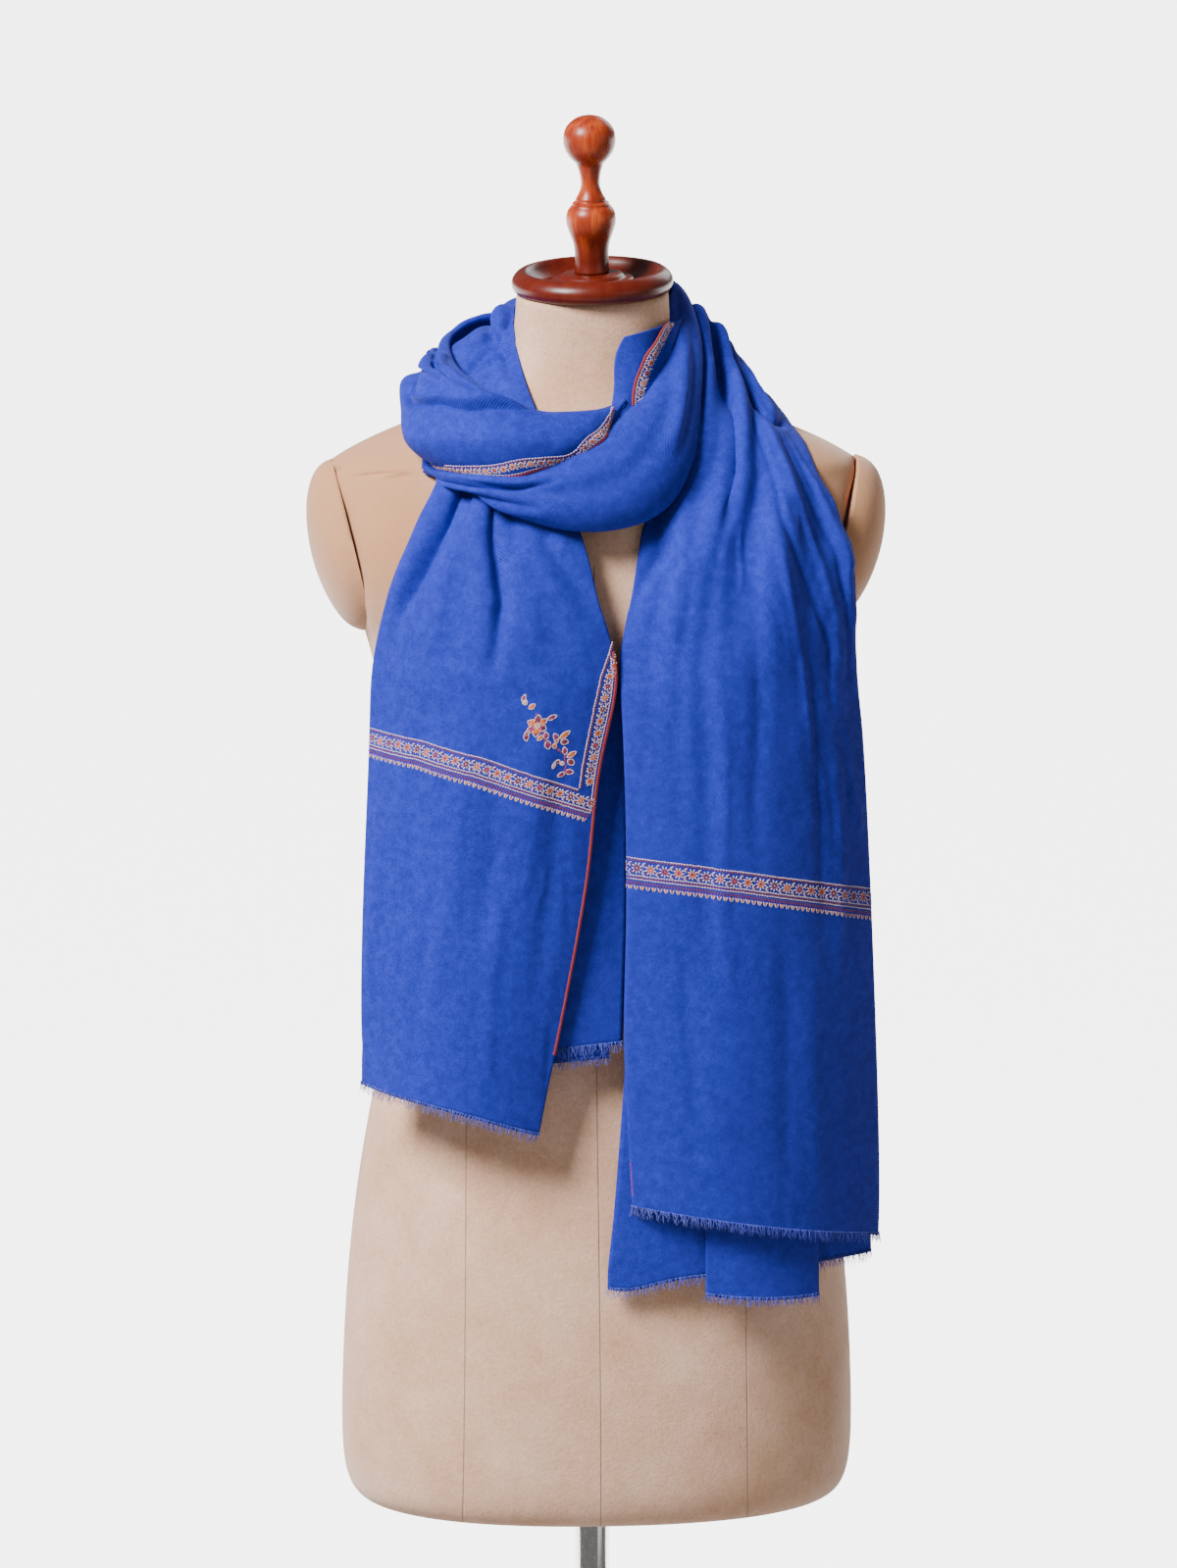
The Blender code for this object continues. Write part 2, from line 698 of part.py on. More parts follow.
def fringe(name, hem, below, strands, collection):
    """A row of tapered strands on a narrow strip along a hem, which is two rows of points."""
    stops = 2 * strands
    along = np.linspace(0, len(hem) - 1, stops + 1)
    columns = [np.interp(along, range(len(hem)), hem[:, axis]) for axis in range(3)]
    line = np.stack(columns, axis=1)
    columns = [np.interp(along, range(len(hem)), below[:, axis]) for axis in range(3)]
    down = np.stack(columns, axis=1) - line
    down /= np.linalg.norm(down, axis=1)[:, None]
    outward = np.cross(down, np.gradient(line, axis=0))
    outward /= np.linalg.norm(outward, axis=1)[:, None]
    shape = bmesh.new()
    rings = []
    for point, fall, out in zip(line, down, outward):
        corners = []
        for drop, side in ((0, 1), (0, -1), (1, -1), (1, 1)):
            spot = point + fall * (SEAM_GAP + drop * FRINGE_STRIP) + out * side * CLOTH / 2
            corners.append(shape.verts.new(spot))
        rings.append(corners)
    shape.faces.new(rings[0])
    shape.faces.new(rings[-1][::-1])
    for k in range(stops):
        near, far = rings[k], rings[k + 1]
        for a in range(4):
            b = (a + 1) % 4
            if a == 2 and k % 2 == 0:
                corners = (near[a], near[b], far[b], far[a])
                root = sum((vert.co for vert in corners), Vector()) / 4
                sway = (k * 0.618) % 1.0 - 0.5
                fall = Vector(down[k] + (line[k + 1] - line[k]) * 140 * sway * 0.5)
                length = FRINGE - FRINGE_STRIP - 0.002 * ((k * 0.382) % 1.0)
                tip = shape.verts.new(root + fall.normalized() * length)
                for c in range(4):
                    shape.faces.new((corners[c], corners[(c + 1) % 4], tip))
            else:
                shape.faces.new((near[a], near[b], far[b], far[a]))
    bmesh.ops.recalc_face_normals(shape, faces=shape.faces)
    return finish(object_from(name, shape), SHAWL, collection)


def build_shawl(form, collection):
    """The shawl's stretches, from the ones next to the form outwards."""
    solid = (BVHTree.FromObject(form, bpy.context.evaluated_depsgraph_get()), FORM_CLEARANCE)
    skins = {}

    def add(name, columns, rows, place, below, whole=False, hold=(False, False)):
        beneath = [skins[other] for other in below]
        points = laid_points(place, columns, rows, solid, beneath, whole, hold)
        skins[name] = cloth(name, points, collection)
        return points

    def add_fringe(name, points, strands, trim=(0, 0)):
        count = points.shape[1]
        hem = points[-1, trim[0] : count - trim[1]]
        below = 2 * hem - points[-2, trim[0] : count - trim[1]]
        fringe(name, hem, below, strands, collection)

    add("neck_inner", 6, 16, band_surface(NECK_INNER, NECK_INNER_FOLDS), ())
    points = add("short_end_inner", 4, 5, band_surface(SHORT_END_INNER), ())
    add_fringe("short_end_inner_fringe", points, 10)
    place = band_surface(SHORT_END_UNDER)
    points = add("short_end_under", 10, 12, place, ("short_end_inner",))
    add_fringe("short_end_under_fringe", points, 26)
    place = band_surface(SHORT_END, SHORT_END_FOLDS, (0.0, FOLD_RADIUS))
    points = add("short_end", 16, 18, place, ("short_end_inner", "short_end_under"))
    add_fringe("short_end_fringe", points, 32, (0, 2))
    points = add("long_end_under", 10, 12, band_surface(LONG_END_UNDER), ("short_end_under",))
    add_fringe("long_end_under_fringe", points, 28)
    points = add("long_end_pleat", 5, 6, band_surface(LONG_END_PLEAT), ("long_end_under",))
    add_fringe("long_end_pleat_fringe", points, 14)
    first, second = OUTER_SEAMS
    folded = (FOLD_RADIUS, FOLD_RADIUS)
    place = band_surface(OUTER, OUTER_FOLDS, folded, second)
    below = ("short_end_under", "long_end_under", "long_end_pleat", "short_end")
    points = add("long_end", 16, 22, place, below, False, (True, False))
    add_fringe("long_end_fringe", points, 30, (2, 2))
    place = band_surface(OUTER, OUTER_FOLDS, folded, first, second - STRETCH_GAP)
    add("outer_back", 16, 14, place, ("neck_inner",), False, (True, True))
    add("loop_lip", 3, 6, band_surface(LOOP_LIP), ("neck_inner",))
    below = ("neck_inner", "short_end", "long_end", "loop_lip")
    place = band_surface(LOOP_LOWER, LOOP_LOWER_FOLDS)
    add("loop_lower", 10, 22, place, below, True, (True, False))
    place = band_surface(OUTER, OUTER_FOLDS, folded, 0, first - STRETCH_GAP)
    below = ("neck_inner", "short_end", "loop_lower", "loop_lip")
    add("loop_upper", 16, 18, place, below, True, (False, True))


def main():
    for obj in list(bpy.data.objects):
        bpy.data.objects.remove(obj)
    collection = bpy.data.collections.new("shawl_on_dress_form")
    bpy.context.scene.collection.children.link(collection)
    build_stand(collection)
    form = finish(build_form(), FABRIC, collection)
    for name, side in (("shoulder_cap_left", -1), ("shoulder_cap_right", 1)):
        finish(build_shoulder_cap(name, side), FABRIC, collection)
    build_cap_and_finial(collection)
    build_shawl(form, collection)


main()
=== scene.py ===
import math

import bmesh
import bpy
import numpy as np
from mathutils import Matrix, Vector
from mathutils.bvhtree import BVHTree


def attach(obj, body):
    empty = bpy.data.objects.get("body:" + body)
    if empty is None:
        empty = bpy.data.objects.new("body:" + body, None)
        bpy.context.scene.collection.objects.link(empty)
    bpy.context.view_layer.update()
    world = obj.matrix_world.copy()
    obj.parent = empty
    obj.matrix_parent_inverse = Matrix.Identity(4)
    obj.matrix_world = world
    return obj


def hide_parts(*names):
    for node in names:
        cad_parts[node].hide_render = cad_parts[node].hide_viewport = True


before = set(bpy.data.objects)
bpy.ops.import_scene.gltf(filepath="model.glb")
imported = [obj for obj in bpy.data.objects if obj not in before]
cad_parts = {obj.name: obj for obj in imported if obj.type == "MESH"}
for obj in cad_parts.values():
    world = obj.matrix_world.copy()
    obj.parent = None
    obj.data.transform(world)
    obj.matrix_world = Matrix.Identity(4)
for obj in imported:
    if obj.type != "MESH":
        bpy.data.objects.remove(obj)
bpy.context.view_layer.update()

# The camera: a long lens at chest height, a little to the left of the form's middle and a little
# above it, so that the form is seen nearly without perspective.
CAMERA_PLACE = (-0.41549883, -5.90329836, 2.18453123)
CAMERA_TARGET = (-0.0027, 0.0, 1.1942)
CAMERA_LENS = 200
CAMERA_SENSOR = 36
CAMERA_REACH = 200


def added(name, data):
    """An object in the scene, made of its data."""
    made = bpy.data.objects.new(name, data)
    bpy.context.scene.collection.objects.link(made)
    return made


camera = added("camera", bpy.data.cameras.new("camera"))
camera.data.lens = CAMERA_LENS
camera.data.sensor_fit = "VERTICAL"
camera.data.sensor_height = CAMERA_SENSOR
camera.data.clip_end = CAMERA_REACH
camera.location = CAMERA_PLACE
sight = Vector(CAMERA_TARGET) - camera.location
camera.rotation_euler = sight.to_track_quat("-Z", "Y").to_euler()
bpy.context.scene.camera = camera


# The studio: a wide pale floor that glows behind the object, as a lit backdrop does, an even
# pale sky, one broad soft light from the upper left, a weaker one from the right and one behind.
FLOOR_RADIUS = 90
FLOOR_COLOUR = (0.42, 0.415, 0.41)
FLOOR_WORN = 0.985
SKY_COLOUR = (1.0, 0.985, 0.98)
SKY_STRENGTH = 0.20
GLOW_STRENGTH = 5.0
GLOW_FROM = 0.9
GLOW_FULL = 2.4
SOFT_LIGHTS = (
    # name, place, aim, width, power
    ("key light", (-2.5, -1.9, 4.1), (0.0, 0.0, 1.25), 1.45, 525),
    ("fill light", (2.8, -2.6, 1.9), (0.0, 0.0, 1.2), 2.0, 12),
    ("rim light", (1.6, 2.6, 2.9), (0.0, 0.0, 1.3), 1.6, 30),
)


def deselect_all():
    if bpy.context.mode != "OBJECT":
        bpy.ops.object.mode_set(mode="OBJECT")
    bpy.ops.object.select_all(action="DESELECT")


class Finish:
    """A material in the making, with its shader and the place of each point on the piece."""

    def __init__(self, name, roughness, **constants):
        self.material = bpy.data.materials.new(name)
        self.material.use_nodes = True
        self.tree = self.material.node_tree
        self.shader = self.tree.nodes["Principled BSDF"]
        for socket, value in {"Roughness": roughness, **constants}.items():
            self.feed(socket.replace("_", " "), value)
        self.place = self.node("TexCoord").outputs["Object"]

    def join(self, value, socket):
        """Gives a socket a number, a colour or another node's output."""
        if isinstance(value, bpy.types.NodeSocket):
            self.tree.links.new(value, socket)
        else:
            socket.default_value = value

    def feed(self, socket, value):
        self.join(value, self.shader.inputs[socket])

    def node(self, kind, sockets=None, **settings):
        made = self.tree.nodes.new("ShaderNode" + kind)
        for name, value in settings.items():
            setattr(made, name, value)
        for name, value in (sockets or {}).items():
            self.join(value, made.inputs[name])
        return made

    def axes(self, place=None):
        return self.node("SeparateXYZ", {0: place or self.place}).outputs

    def grain(self, scale, detail=3.0, roughness=0.6, stretch=(1, 1, 1)):
        """A noise's value, with its features drawn out along an axis."""
        placed = self.node("Mapping", {"Vector": self.place, "Scale": stretch}).outputs[0]
        sockets = {"Vector": placed, "Scale": scale, "Detail": detail, "Roughness": roughness}
        return self.node("TexNoise", sockets).outputs["Fac"]

    def shades(self, value, *stops):
        """A colour ramp over a value: each stop is a place and a colour."""
        ramp = self.node("ValToRGB", {"Fac": value})
        elements = ramp.color_ramp.elements
        while len(elements) < len(stops):
            elements.new(0.5)
        for element, (place, colour) in zip(elements, stops):
            element.position = place
            element.color = (*colour, 1.0)
        return ramp.outputs["Color"]

    def blended(self, share, first, second, way="MIX"):
        """Two colours, or outputs that give them, mixed by a share."""
        sockets = {0: share, 6: first, 7: second}
        return self.node("Mix", sockets, data_type="RGBA", blend_type=way).outputs[2]

    def worked(self, operation, first, second=0.0):
        """One sum on numbers or on other nodes' outputs."""
        return self.node("Math", {0: first, 1: second}, operation=operation).outputs[0]

    def ramped(self, value, start, stop, full=1.0, way="LINEAR"):
        """From 0 to a full amount as a value goes from a start to a stop."""
        sockets = {"Value": value, "From Min": start, "From Max": stop, "To Max": full}
        return self.node("MapRange", sockets, interpolation_type=way).outputs["Result"]

    def relief(self, height, strength, distance, under=None):
        """A bump from a height, over another bump if there is one."""
        sockets = {"Height": height, "Strength": strength, "Distance": distance}
        if under is not None:
            sockets["Normal"] = under
        bump = self.node("Bump", sockets).outputs["Normal"]
        self.feed("Normal", bump)
        return bump


deselect_all()
bpy.ops.mesh.primitive_circle_add(vertices=96, radius=FLOOR_RADIUS, fill_type="NGON")
floor = bpy.context.active_object
floor.name = "floor"
paint = Finish("pale floor", 0.9)
worn_paint = tuple(channel * FLOOR_WORN for channel in FLOOR_COLOUR)
paint.feed("Base Color", paint.shades(paint.grain(0.4), (0.3, worn_paint), (0.7, FLOOR_COLOUR)))
paint.feed("Emission Color", (*SKY_COLOUR, 1.0))
glow = paint.ramped(paint.axes()["Y"], GLOW_FROM, GLOW_FULL, GLOW_STRENGTH, "SMOOTHSTEP")
paint.feed("Emission Strength", glow)
floor.data.materials.append(paint.material)

sky = bpy.data.worlds.new("sky")
sky.use_nodes = True
sky.node_tree.nodes["Background"].inputs["Color"].default_value = (*SKY_COLOUR, 1.0)
sky.node_tree.nodes["Background"].inputs["Strength"].default_value = SKY_STRENGTH
bpy.context.scene.world = sky
for name, place, aim, width, power in SOFT_LIGHTS:
    lamp = bpy.data.lights.new(name, "AREA")
    lamp.size = width
    lamp.energy = power
    light = added(name, lamp)
    light.location = place
    light.rotation_euler = (Vector(aim) - light.location).to_track_quat("-Z", "Y").to_euler()


# The stand: a heavy turned and chromed base with a hub, a chromed tube that rises from it into
# the form, and a plain ring where the tube goes in.
BASE_OUTLINE = (
    # radius, height, in mm, from the top down
    (0, 34), (21, 34), (24, 33.2), (26, 30.5), (26.2, 26), (27, 20.5), (29.5, 18), (34, 16.6),
    (60, 14.4), (105, 11.2), (145, 8.4), (159, 6.4), (163.6, 4.2), (165, 2.0), (164.4, 0.4),
    (163, 0), (0, 0),
)
POLE_RADIUS = 0.012
POLE_FOOT = 0.0343
POLE_TOP = 0.6927
COLLAR_OUTLINE = (
    (12.3, 692.7), (13.1, 692.7), (13.6, 692.2), (13.6, 684), (13.3, 683.4), (13.6, 682.8),
    (13.6, 679.3), (13.1, 678.7), (12.3, 678.7), (12.3, 692.7),
)
CHROME_COLOUR = (0.80, 0.79, 0.78)
CHROME_DULL = (0.66, 0.64, 0.62)
WELD = 1e-6
SHARP_RIM = math.radians(50)
POLE_ROUNDING = 0.0006

chrome = Finish("chrome", 0.13, Metallic=1.0)
rubbed = chrome.grain(60, 4, 0.7, (1, 1, 0.15))
chrome.feed("Base Color", chrome.shades(rubbed, (0.35, CHROME_DULL), (0.6, CHROME_COLOUR)))
pits = chrome.worked("GREATER_THAN", chrome.grain(900, 2, 0.5), 0.66)
chrome.relief(pits, 0.25, 0.0002)


def opened(piece):
    """Takes up one piece alone, with all of it selected in edit mode."""
    deselect_all()
    piece.select_set(True)
    bpy.context.view_layer.objects.active = piece
    bpy.ops.object.mode_set(mode="EDIT")
    bpy.ops.mesh.select_all(action="SELECT")


def turned(name, outline, steps, foot=Matrix()):
    """A piece turned from its outline, in mm from the top down, and set on its foot."""
    mesh = bpy.data.meshes.new(name)
    ends = [(radius / 1000, 0, height / 1000) for radius, height in outline]
    mesh.from_pydata(ends, [(i, i + 1) for i in range(len(ends) - 1)], [])
    piece = added(name, mesh)
    opened(piece)
    bpy.ops.mesh.spin(steps=steps, angle=2 * math.pi, center=(0, 0, 0), axis=(0, 0, 1))
    bpy.ops.mesh.select_all(action="SELECT")
    bpy.ops.mesh.remove_doubles(threshold=WELD)
    bpy.ops.mesh.normals_make_consistent(inside=False)
    bpy.ops.object.mode_set(mode="OBJECT")
    bpy.ops.object.shade_smooth_by_angle(angle=SHARP_RIM)
    piece.data.transform(foot)
    return piece


def fit(piece, finish, slot, *nodes):
    """Gives a piece its finish and its body, and lets it stand for its CAD nodes."""
    piece.data.materials.clear()
    piece.data.materials.append(finish.material)
    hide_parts(*nodes)
    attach(piece, "root")
    return piece


fit(turned("stand_base", BASE_OUTLINE, 128), chrome, "stand_metal", "base")
fit(turned("pole_ring", COLLAR_OUTLINE, 64), chrome, "stand_metal", "collar")
deselect_all()
bpy.ops.mesh.primitive_cylinder_add(
    vertices=64,
    radius=POLE_RADIUS,
    depth=POLE_TOP - POLE_FOOT,
    location=(0, 0, (POLE_TOP + POLE_FOOT) / 2),
)
pole = bpy.context.active_object
pole.name = "stand_pole"
bpy.ops.object.transform_apply(location=True)
rounding = pole.modifiers.new("rounded ends", "BEVEL")
rounding.width = POLE_ROUNDING
rounding.segments = 2
rounding.angle_limit = math.radians(60)
bpy.ops.object.modifier_apply(modifier="rounded ends")
bpy.ops.object.shade_smooth_by_angle(angle=SHARP_RIM)
fit(pole, chrome, "stand_metal", "pole")


# The form: a padded torso covered in beige suede cloth, pieced with long seams, and an oval
# padded cap sewn over each armhole. The cover is worn, with faint stains.
SUEDE = (0.73, 0.435, 0.292)
SUEDE_PALE = (0.85, 0.56, 0.412)
SUEDE_STAINED = (0.60, 0.33, 0.19)
SUEDE_TANNED = (0.48, 0.225, 0.105)
NAP_DARK = (0.76, 0.75, 0.73)
NAP_LIGHT = (1.08, 1.08, 1.08)
# The cover is browner beside the neck: from the middle outwards, and from the chest up
TAN_ASIDE = (0.055, 0.13)
TAN_HEIGHT = (1.12, 1.36)
TAN_SHARE = 0.92
SEAM_SHADE = (0.36, 0.235, 0.16)
SEAM_SHARE = 0.6
PANEL_FOOT = 0.70
PANEL_HEIGHT = 0.6
TORSO_SEAMS = (
    # x at the panels' foot, x at their height above it, in metres: centre and side seams
    (-0.002, -0.006),
    (-0.096, -0.088),
    (0.100, 0.092),
)
SEAM_HALF_WIDTH = 0.0007
SEAM_TOP = 1.36
FORM_LEVELS = 2
SOFT_RIM = math.radians(55)
RIM_ANGLE = math.radians(48)
FACET_ANGLE = math.radians(60)
# The caps are drawn in towards the form, raised and widened a little, and lean towards it
CAP_SEATING = 0.0048
CAP_RISE = 0.002
CAP_SPREAD = (1.03, 1.035)
CAP_LEAN = 0.03
CAPS = (("left", 1, 1.05), ("right", -1, 1.18))

suede = Finish(
    "suede cover", 0.92, Sheen_Weight=0.25, Sheen_Roughness=0.5, Specular_IOR_Level=0.2
)
stains = suede.grain(9, 6, 0.72)
tone = suede.shades(stains, (0.30, SUEDE_STAINED), (0.50, SUEDE), (0.72, SUEDE_PALE))
nap = suede.grain(420, 4, 0.75)
nap_tone = suede.shades(nap, (0.25, NAP_DARK), (0.75, NAP_LIGHT))
tone = suede.blended(1.0, tone, nap_tone, "MULTIPLY")
axes = suede.axes()
aside = suede.ramped(suede.worked("ABSOLUTE", axes["X"]), *TAN_ASIDE)
tanned = suede.worked("MULTIPLY", aside, suede.ramped(axes["Z"], *TAN_HEIGHT))
tanned = suede.worked("MULTIPLY", tanned, TAN_SHARE)
tone = suede.blended(tanned, tone, (*SUEDE_TANNED, 1.0))
seams = 0.0
for low_x, high_x in TORSO_SEAMS:
    climb = suede.worked("SUBTRACT", axes["Z"], PANEL_FOOT)
    climb = suede.worked("MULTIPLY", climb, (high_x - low_x) / PANEL_HEIGHT)
    off = suede.worked("SUBTRACT", suede.worked("SUBTRACT", axes["X"], low_x), climb)
    near = suede.worked("DIVIDE", suede.worked("ABSOLUTE", off), SEAM_HALF_WIDTH)
    near = suede.worked("SUBTRACT", 1.0, suede.worked("MINIMUM", near, 1.0))
    seams = suede.worked("MAXIMUM", near, seams)
seams = suede.worked("MULTIPLY", seams, suede.worked("LESS_THAN", axes["Z"], SEAM_TOP))
seam_shade = suede.worked("MULTIPLY", seams, SEAM_SHARE)
suede.feed("Base Color", suede.blended(seam_shade, tone, (*SEAM_SHADE, 1.0)))
bumps = suede.relief(suede.grain(22, 3, 0.5), 0.25, 0.004)
bumps = suede.relief(nap, 0.6, 0.0008, bumps)
suede.relief(suede.worked("MULTIPLY", seams, -1.0), 0.6, 0.0012, bumps)


def padded_copy(node, name):
    """A padded piece from its CAD solid: facets joined, hard rims kept, the rest rounded."""
    piece = added(name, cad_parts[node].data.copy())
    opened(piece)
    bpy.ops.mesh.remove_doubles(threshold=WELD)
    bpy.ops.mesh.tris_convert_to_quads(face_threshold=FACET_ANGLE, shape_threshold=FACET_ANGLE)
    bpy.ops.object.mode_set(mode="OBJECT")
    shape = bmesh.new()
    shape.from_mesh(piece.data)
    crease = shape.edges.layers.float.new("crease_edge")
    for edge in shape.edges:
        if edge.is_manifold and edge.calc_face_angle() > RIM_ANGLE:
            edge[crease] = 1.0
    shape.to_mesh(piece.data)
    shape.free()
    rounding = piece.modifiers.new("rounding", "SUBSURF")
    rounding.levels = rounding.render_levels = FORM_LEVELS
    bpy.ops.object.modifier_apply(modifier="rounding")
    bpy.ops.object.shade_smooth_by_angle(angle=SOFT_RIM)
    return piece


fit(padded_copy("dress_form", "torso"), suede, "form_cloth", "dress_form")
for side, inward, depth in CAPS:
    cap_name = "shoulder_cap_" + side
    cap = fit(padded_copy(cap_name, "padded_" + cap_name), suede, "form_cloth", cap_name)
    middle = sum((Vector(corner) for corner in cap.bound_box), Vector()) / 8
    reach = cap.dimensions.x * (depth - 1) / 2
    seat = middle + Vector((inward * (CAP_SEATING - reach), 0, CAP_RISE))
    for move in (
        Matrix.Translation(-middle),
        Matrix.Diagonal((depth, *CAP_SPREAD, 1)),
        Matrix.Rotation(-inward * CAP_LEAN, 4, "Y"),
        Matrix.Translation(seat),
    ):
        cap.data.transform(move)


# The neck cap and the finial: two pieces of turned hardwood, stained red-brown and polished,
# glued on the neck's top, which leans forwards a little.
NECK_TOP = 1.535
NECK_TILT = math.radians(5.0)
NECK_LEAN = math.radians(1.5)
CAP_REST = 0.00036
BOSS_REST = 0.01366
NECK_CAP_OUTLINE = (
    (0, 13.0), (12.0, 13.0), (15.5, 12.9), (18.6, 12.6), (20.6, 12.0), (21.6, 11.2), (22.2, 10.2),
    (23.4, 9.7), (25.6, 9.7), (27.4, 9.3), (28.6, 8.4), (29.2, 7.1), (30.0, 6.1), (32.5, 5.8),
    (35.5, 6.1), (38.5, 7.3), (41, 9.2), (43.2, 12.0), (44.6, 14.2), (45.8, 15.0), (47.5, 15.2),
    (49.6, 14.7), (51.6, 13.4), (53.4, 11.6), (54.6, 9.6), (55.2, 7.8), (55.3, 6.2), (55.0, 4.4),
    (54.3, 2.9), (53.4, 1.6), (52.2, 0.6), (51.2, 0.1), (50, 0), (0, 0),
)
FINIAL_OUTLINE = (
    (0, 108.3), (2.6, 108.1), (5.2, 107.6), (7.8, 106.8), (10.6, 105.3), (13.2, 103.2),
    (15.2, 100.9), (16.7, 98.3), (17.6, 95.3), (17.9, 92.2), (17.8, 89.3), (17.2, 86.4),
    (16.3, 84.0), (15.0, 81.7), (13.5, 79.5), (11.9, 77.7), (10.4, 76.3), (9.3, 75.0), (8.6, 73.0),
    (7.7, 70.2), (7.0, 67.0), (6.5, 63.7), (6.4, 61.0), (6.7, 58.4), (7.3, 56.2), (8.2, 54.2),
    (9.4, 52.0), (10.4, 50.5), (10.2, 49.8), (10.5, 49.2), (11.6, 48.6), (12.6, 47.7),
    (12.5, 47.0), (13.3, 45.9), (14.6, 44.4), (15.8, 42.7), (16.7, 40.2), (17.1, 37.2),
    (16.9, 34.0), (16.0, 30.5), (14.8, 27.0), (13.5, 23.8), (12.5, 20.4), (11.9, 17.0),
    (11.6, 13.6), (11.5, 10.4), (11.5, 3.0), (12.1, 1.6), (12.1, 0.5), (11.5, 0), (0, 0),
)
WOOD_DARK = (0.075, 0.008, 0.003)
DISC_SHADE_COLOUR = (0.072, 0.0045, 0.002)
WOOD_RED = (0.28, 0.030, 0.007)
WOOD_ORANGE = (0.56, 0.105, 0.018)
# Painted shade: the disc is lit less than the knob, so its colour is painted darker and redder.
# These are the heights between which the painted shade comes in
DISC_SHADE_HEIGHTS = (1.585, 1.556)
DISC_SHADE_SHARE = 0.9

wood = Finish(
    "polished hardwood",
    0.34,
    Specular_IOR_Level=0.3,
    Coat_Weight=0.12,
    Coat_Roughness=0.12,
    Coat_IOR=1.3,
)
figure = wood.worked(
    "ADD", wood.grain(26, 4, 0.6, (1, 1, 0.22)), wood.grain(170, 3, 0.7, (1, 1, 0.05))
)
figure = wood.worked("MULTIPLY", figure, 0.5)
tone = wood.shades(figure, (0.33, WOOD_DARK), (0.47, WOOD_RED), (0.66, WOOD_ORANGE))
# painted shade on the disc: the wood's colour goes to the darker, redder shade colour below these
# heights
disc_shade_mask = wood.ramped(wood.axes()["Z"], *DISC_SHADE_HEIGHTS)
disc_shade = wood.worked("MULTIPLY", disc_shade_mask, DISC_SHADE_SHARE)
wood.feed("Base Color", wood.blended(disc_shade, tone, (*DISC_SHADE_COLOUR, 1.0)))
wood.relief(wood.grain(650, 2, 0.6, (1, 1, 0.12)), 0.12, 0.0004)

neck_lean = Matrix.Rotation(NECK_TILT, 4, "X") @ Matrix.Rotation(-NECK_LEAN, 4, "Y")
on_neck = Matrix.Translation((0, 0, NECK_TOP)) @ neck_lean
cap_foot = on_neck @ Matrix.Translation((0, 0, CAP_REST))
finial_foot = on_neck @ Matrix.Translation((0, 0, BOSS_REST))
fit(turned("turned_neck_cap", NECK_CAP_OUTLINE, 112, cap_foot), wood, "cap_wood", "neck_cap")
fit(turned("turned_finial", FINIAL_OUTLINE, 72, finial_foot), wood, "cap_wood", "finial")


# The shawl: one royal blue wool twill cloth of 1.0 m by 2.0 m with a soft nap, folded lengthwise
# and wound round the neck: behind it, across the front as a loose loop, and behind it again.
# Each stretch is a thin sheet over its CAD solid.
# The rows of a stretch's table are stations along it: one edge's x, y, z, the other edge's
# x, y, z, how far it bulges between them, and how flat it hangs, 0 for a roll, 1 for a panel.
CLOTH_THICKNESS = 0.0008
ROLL_OPENING = (math.radians(84), math.radians(105))
FOLD_RADIUS = 0.0025
FOLDED_SHARE = 0.14
SETTLING = 44
WOOL = (0.0145, 0.0225, 0.315)
WOOL_DEEP = (0.009, 0.014, 0.225)
WOOL_PALE = (0.026, 0.040, 0.44)
WOOL_LOOSE = (0.05, 0.07, 0.52)
WOOL_SHEEN = (0.45, 0.62, 1.0, 1.0)
TWILL_SPACING = 0.0018
NAP_SHARE = 0.46
WORN_SHARE = 0.08
TWILL_SHARE = 0.075
NO_CURL = (0.0, 0.0)
STATION_STEP = 0.02
FOLD_FADE = 1.2
FOLD_WIDENING = 0.8
SETTLING_ROUNDS = 2
SETTLING_END = 40
LAYER_GAP = 0.0012
PROBE = 0.006
PUSH_SPREAD = 1.6
PUSH_ROUNDS = 10
MOVE_ROUNDS = 6

NECK_INNER = (
    (-38, -66, 1450, -98, -70, 1432, 4, 1),
    (-50, -38, 1480, -96, -40, 1452, 5, 1),
    (-56.5, -5, 1505, -94, -2, 1474, 6, 1),
    (-55, 26, 1521, -82, 38, 1486, 7, 1),
    (-34, 52, 1528, -50, 66, 1484, 7, 1),
    (0, 61, 1530, 0, 76, 1478, 7, 1),
    (32, 55, 1532, 42, 66, 1482, 7, 1),
    (52, 37, 1536, 62, 44, 1500, 5, 1),
    (56, 19, 1540, 65, 27, 1524, 4, 1),
)
LOOP_LOWER = (
    (56, 18.4, 1540, 65, 26.4, 1524, 4, 1),
    (52, -8, 1513, 73, -6, 1500, 9, 0.3),
    (41, -35, 1486, 68, -46, 1454, 14, 0),
    (24, -61, 1465, 56, -84, 1414, 19, 0),
    (2, -80, 1453, 30, -106, 1391, 21, 0),
    (-21, -92, 1445, -11, -116, 1385, 20, 0),
    (-53, -98, 1438, -51, -114, 1393, 16, 0),
    (-84, -91, 1435, -84, -107, 1407, 11, 0),
    (-107, -70, 1432, -110, -84, 1415, 5, 0),
    (-108, -48, 1431, -112, -54, 1424, 2, 0),
)
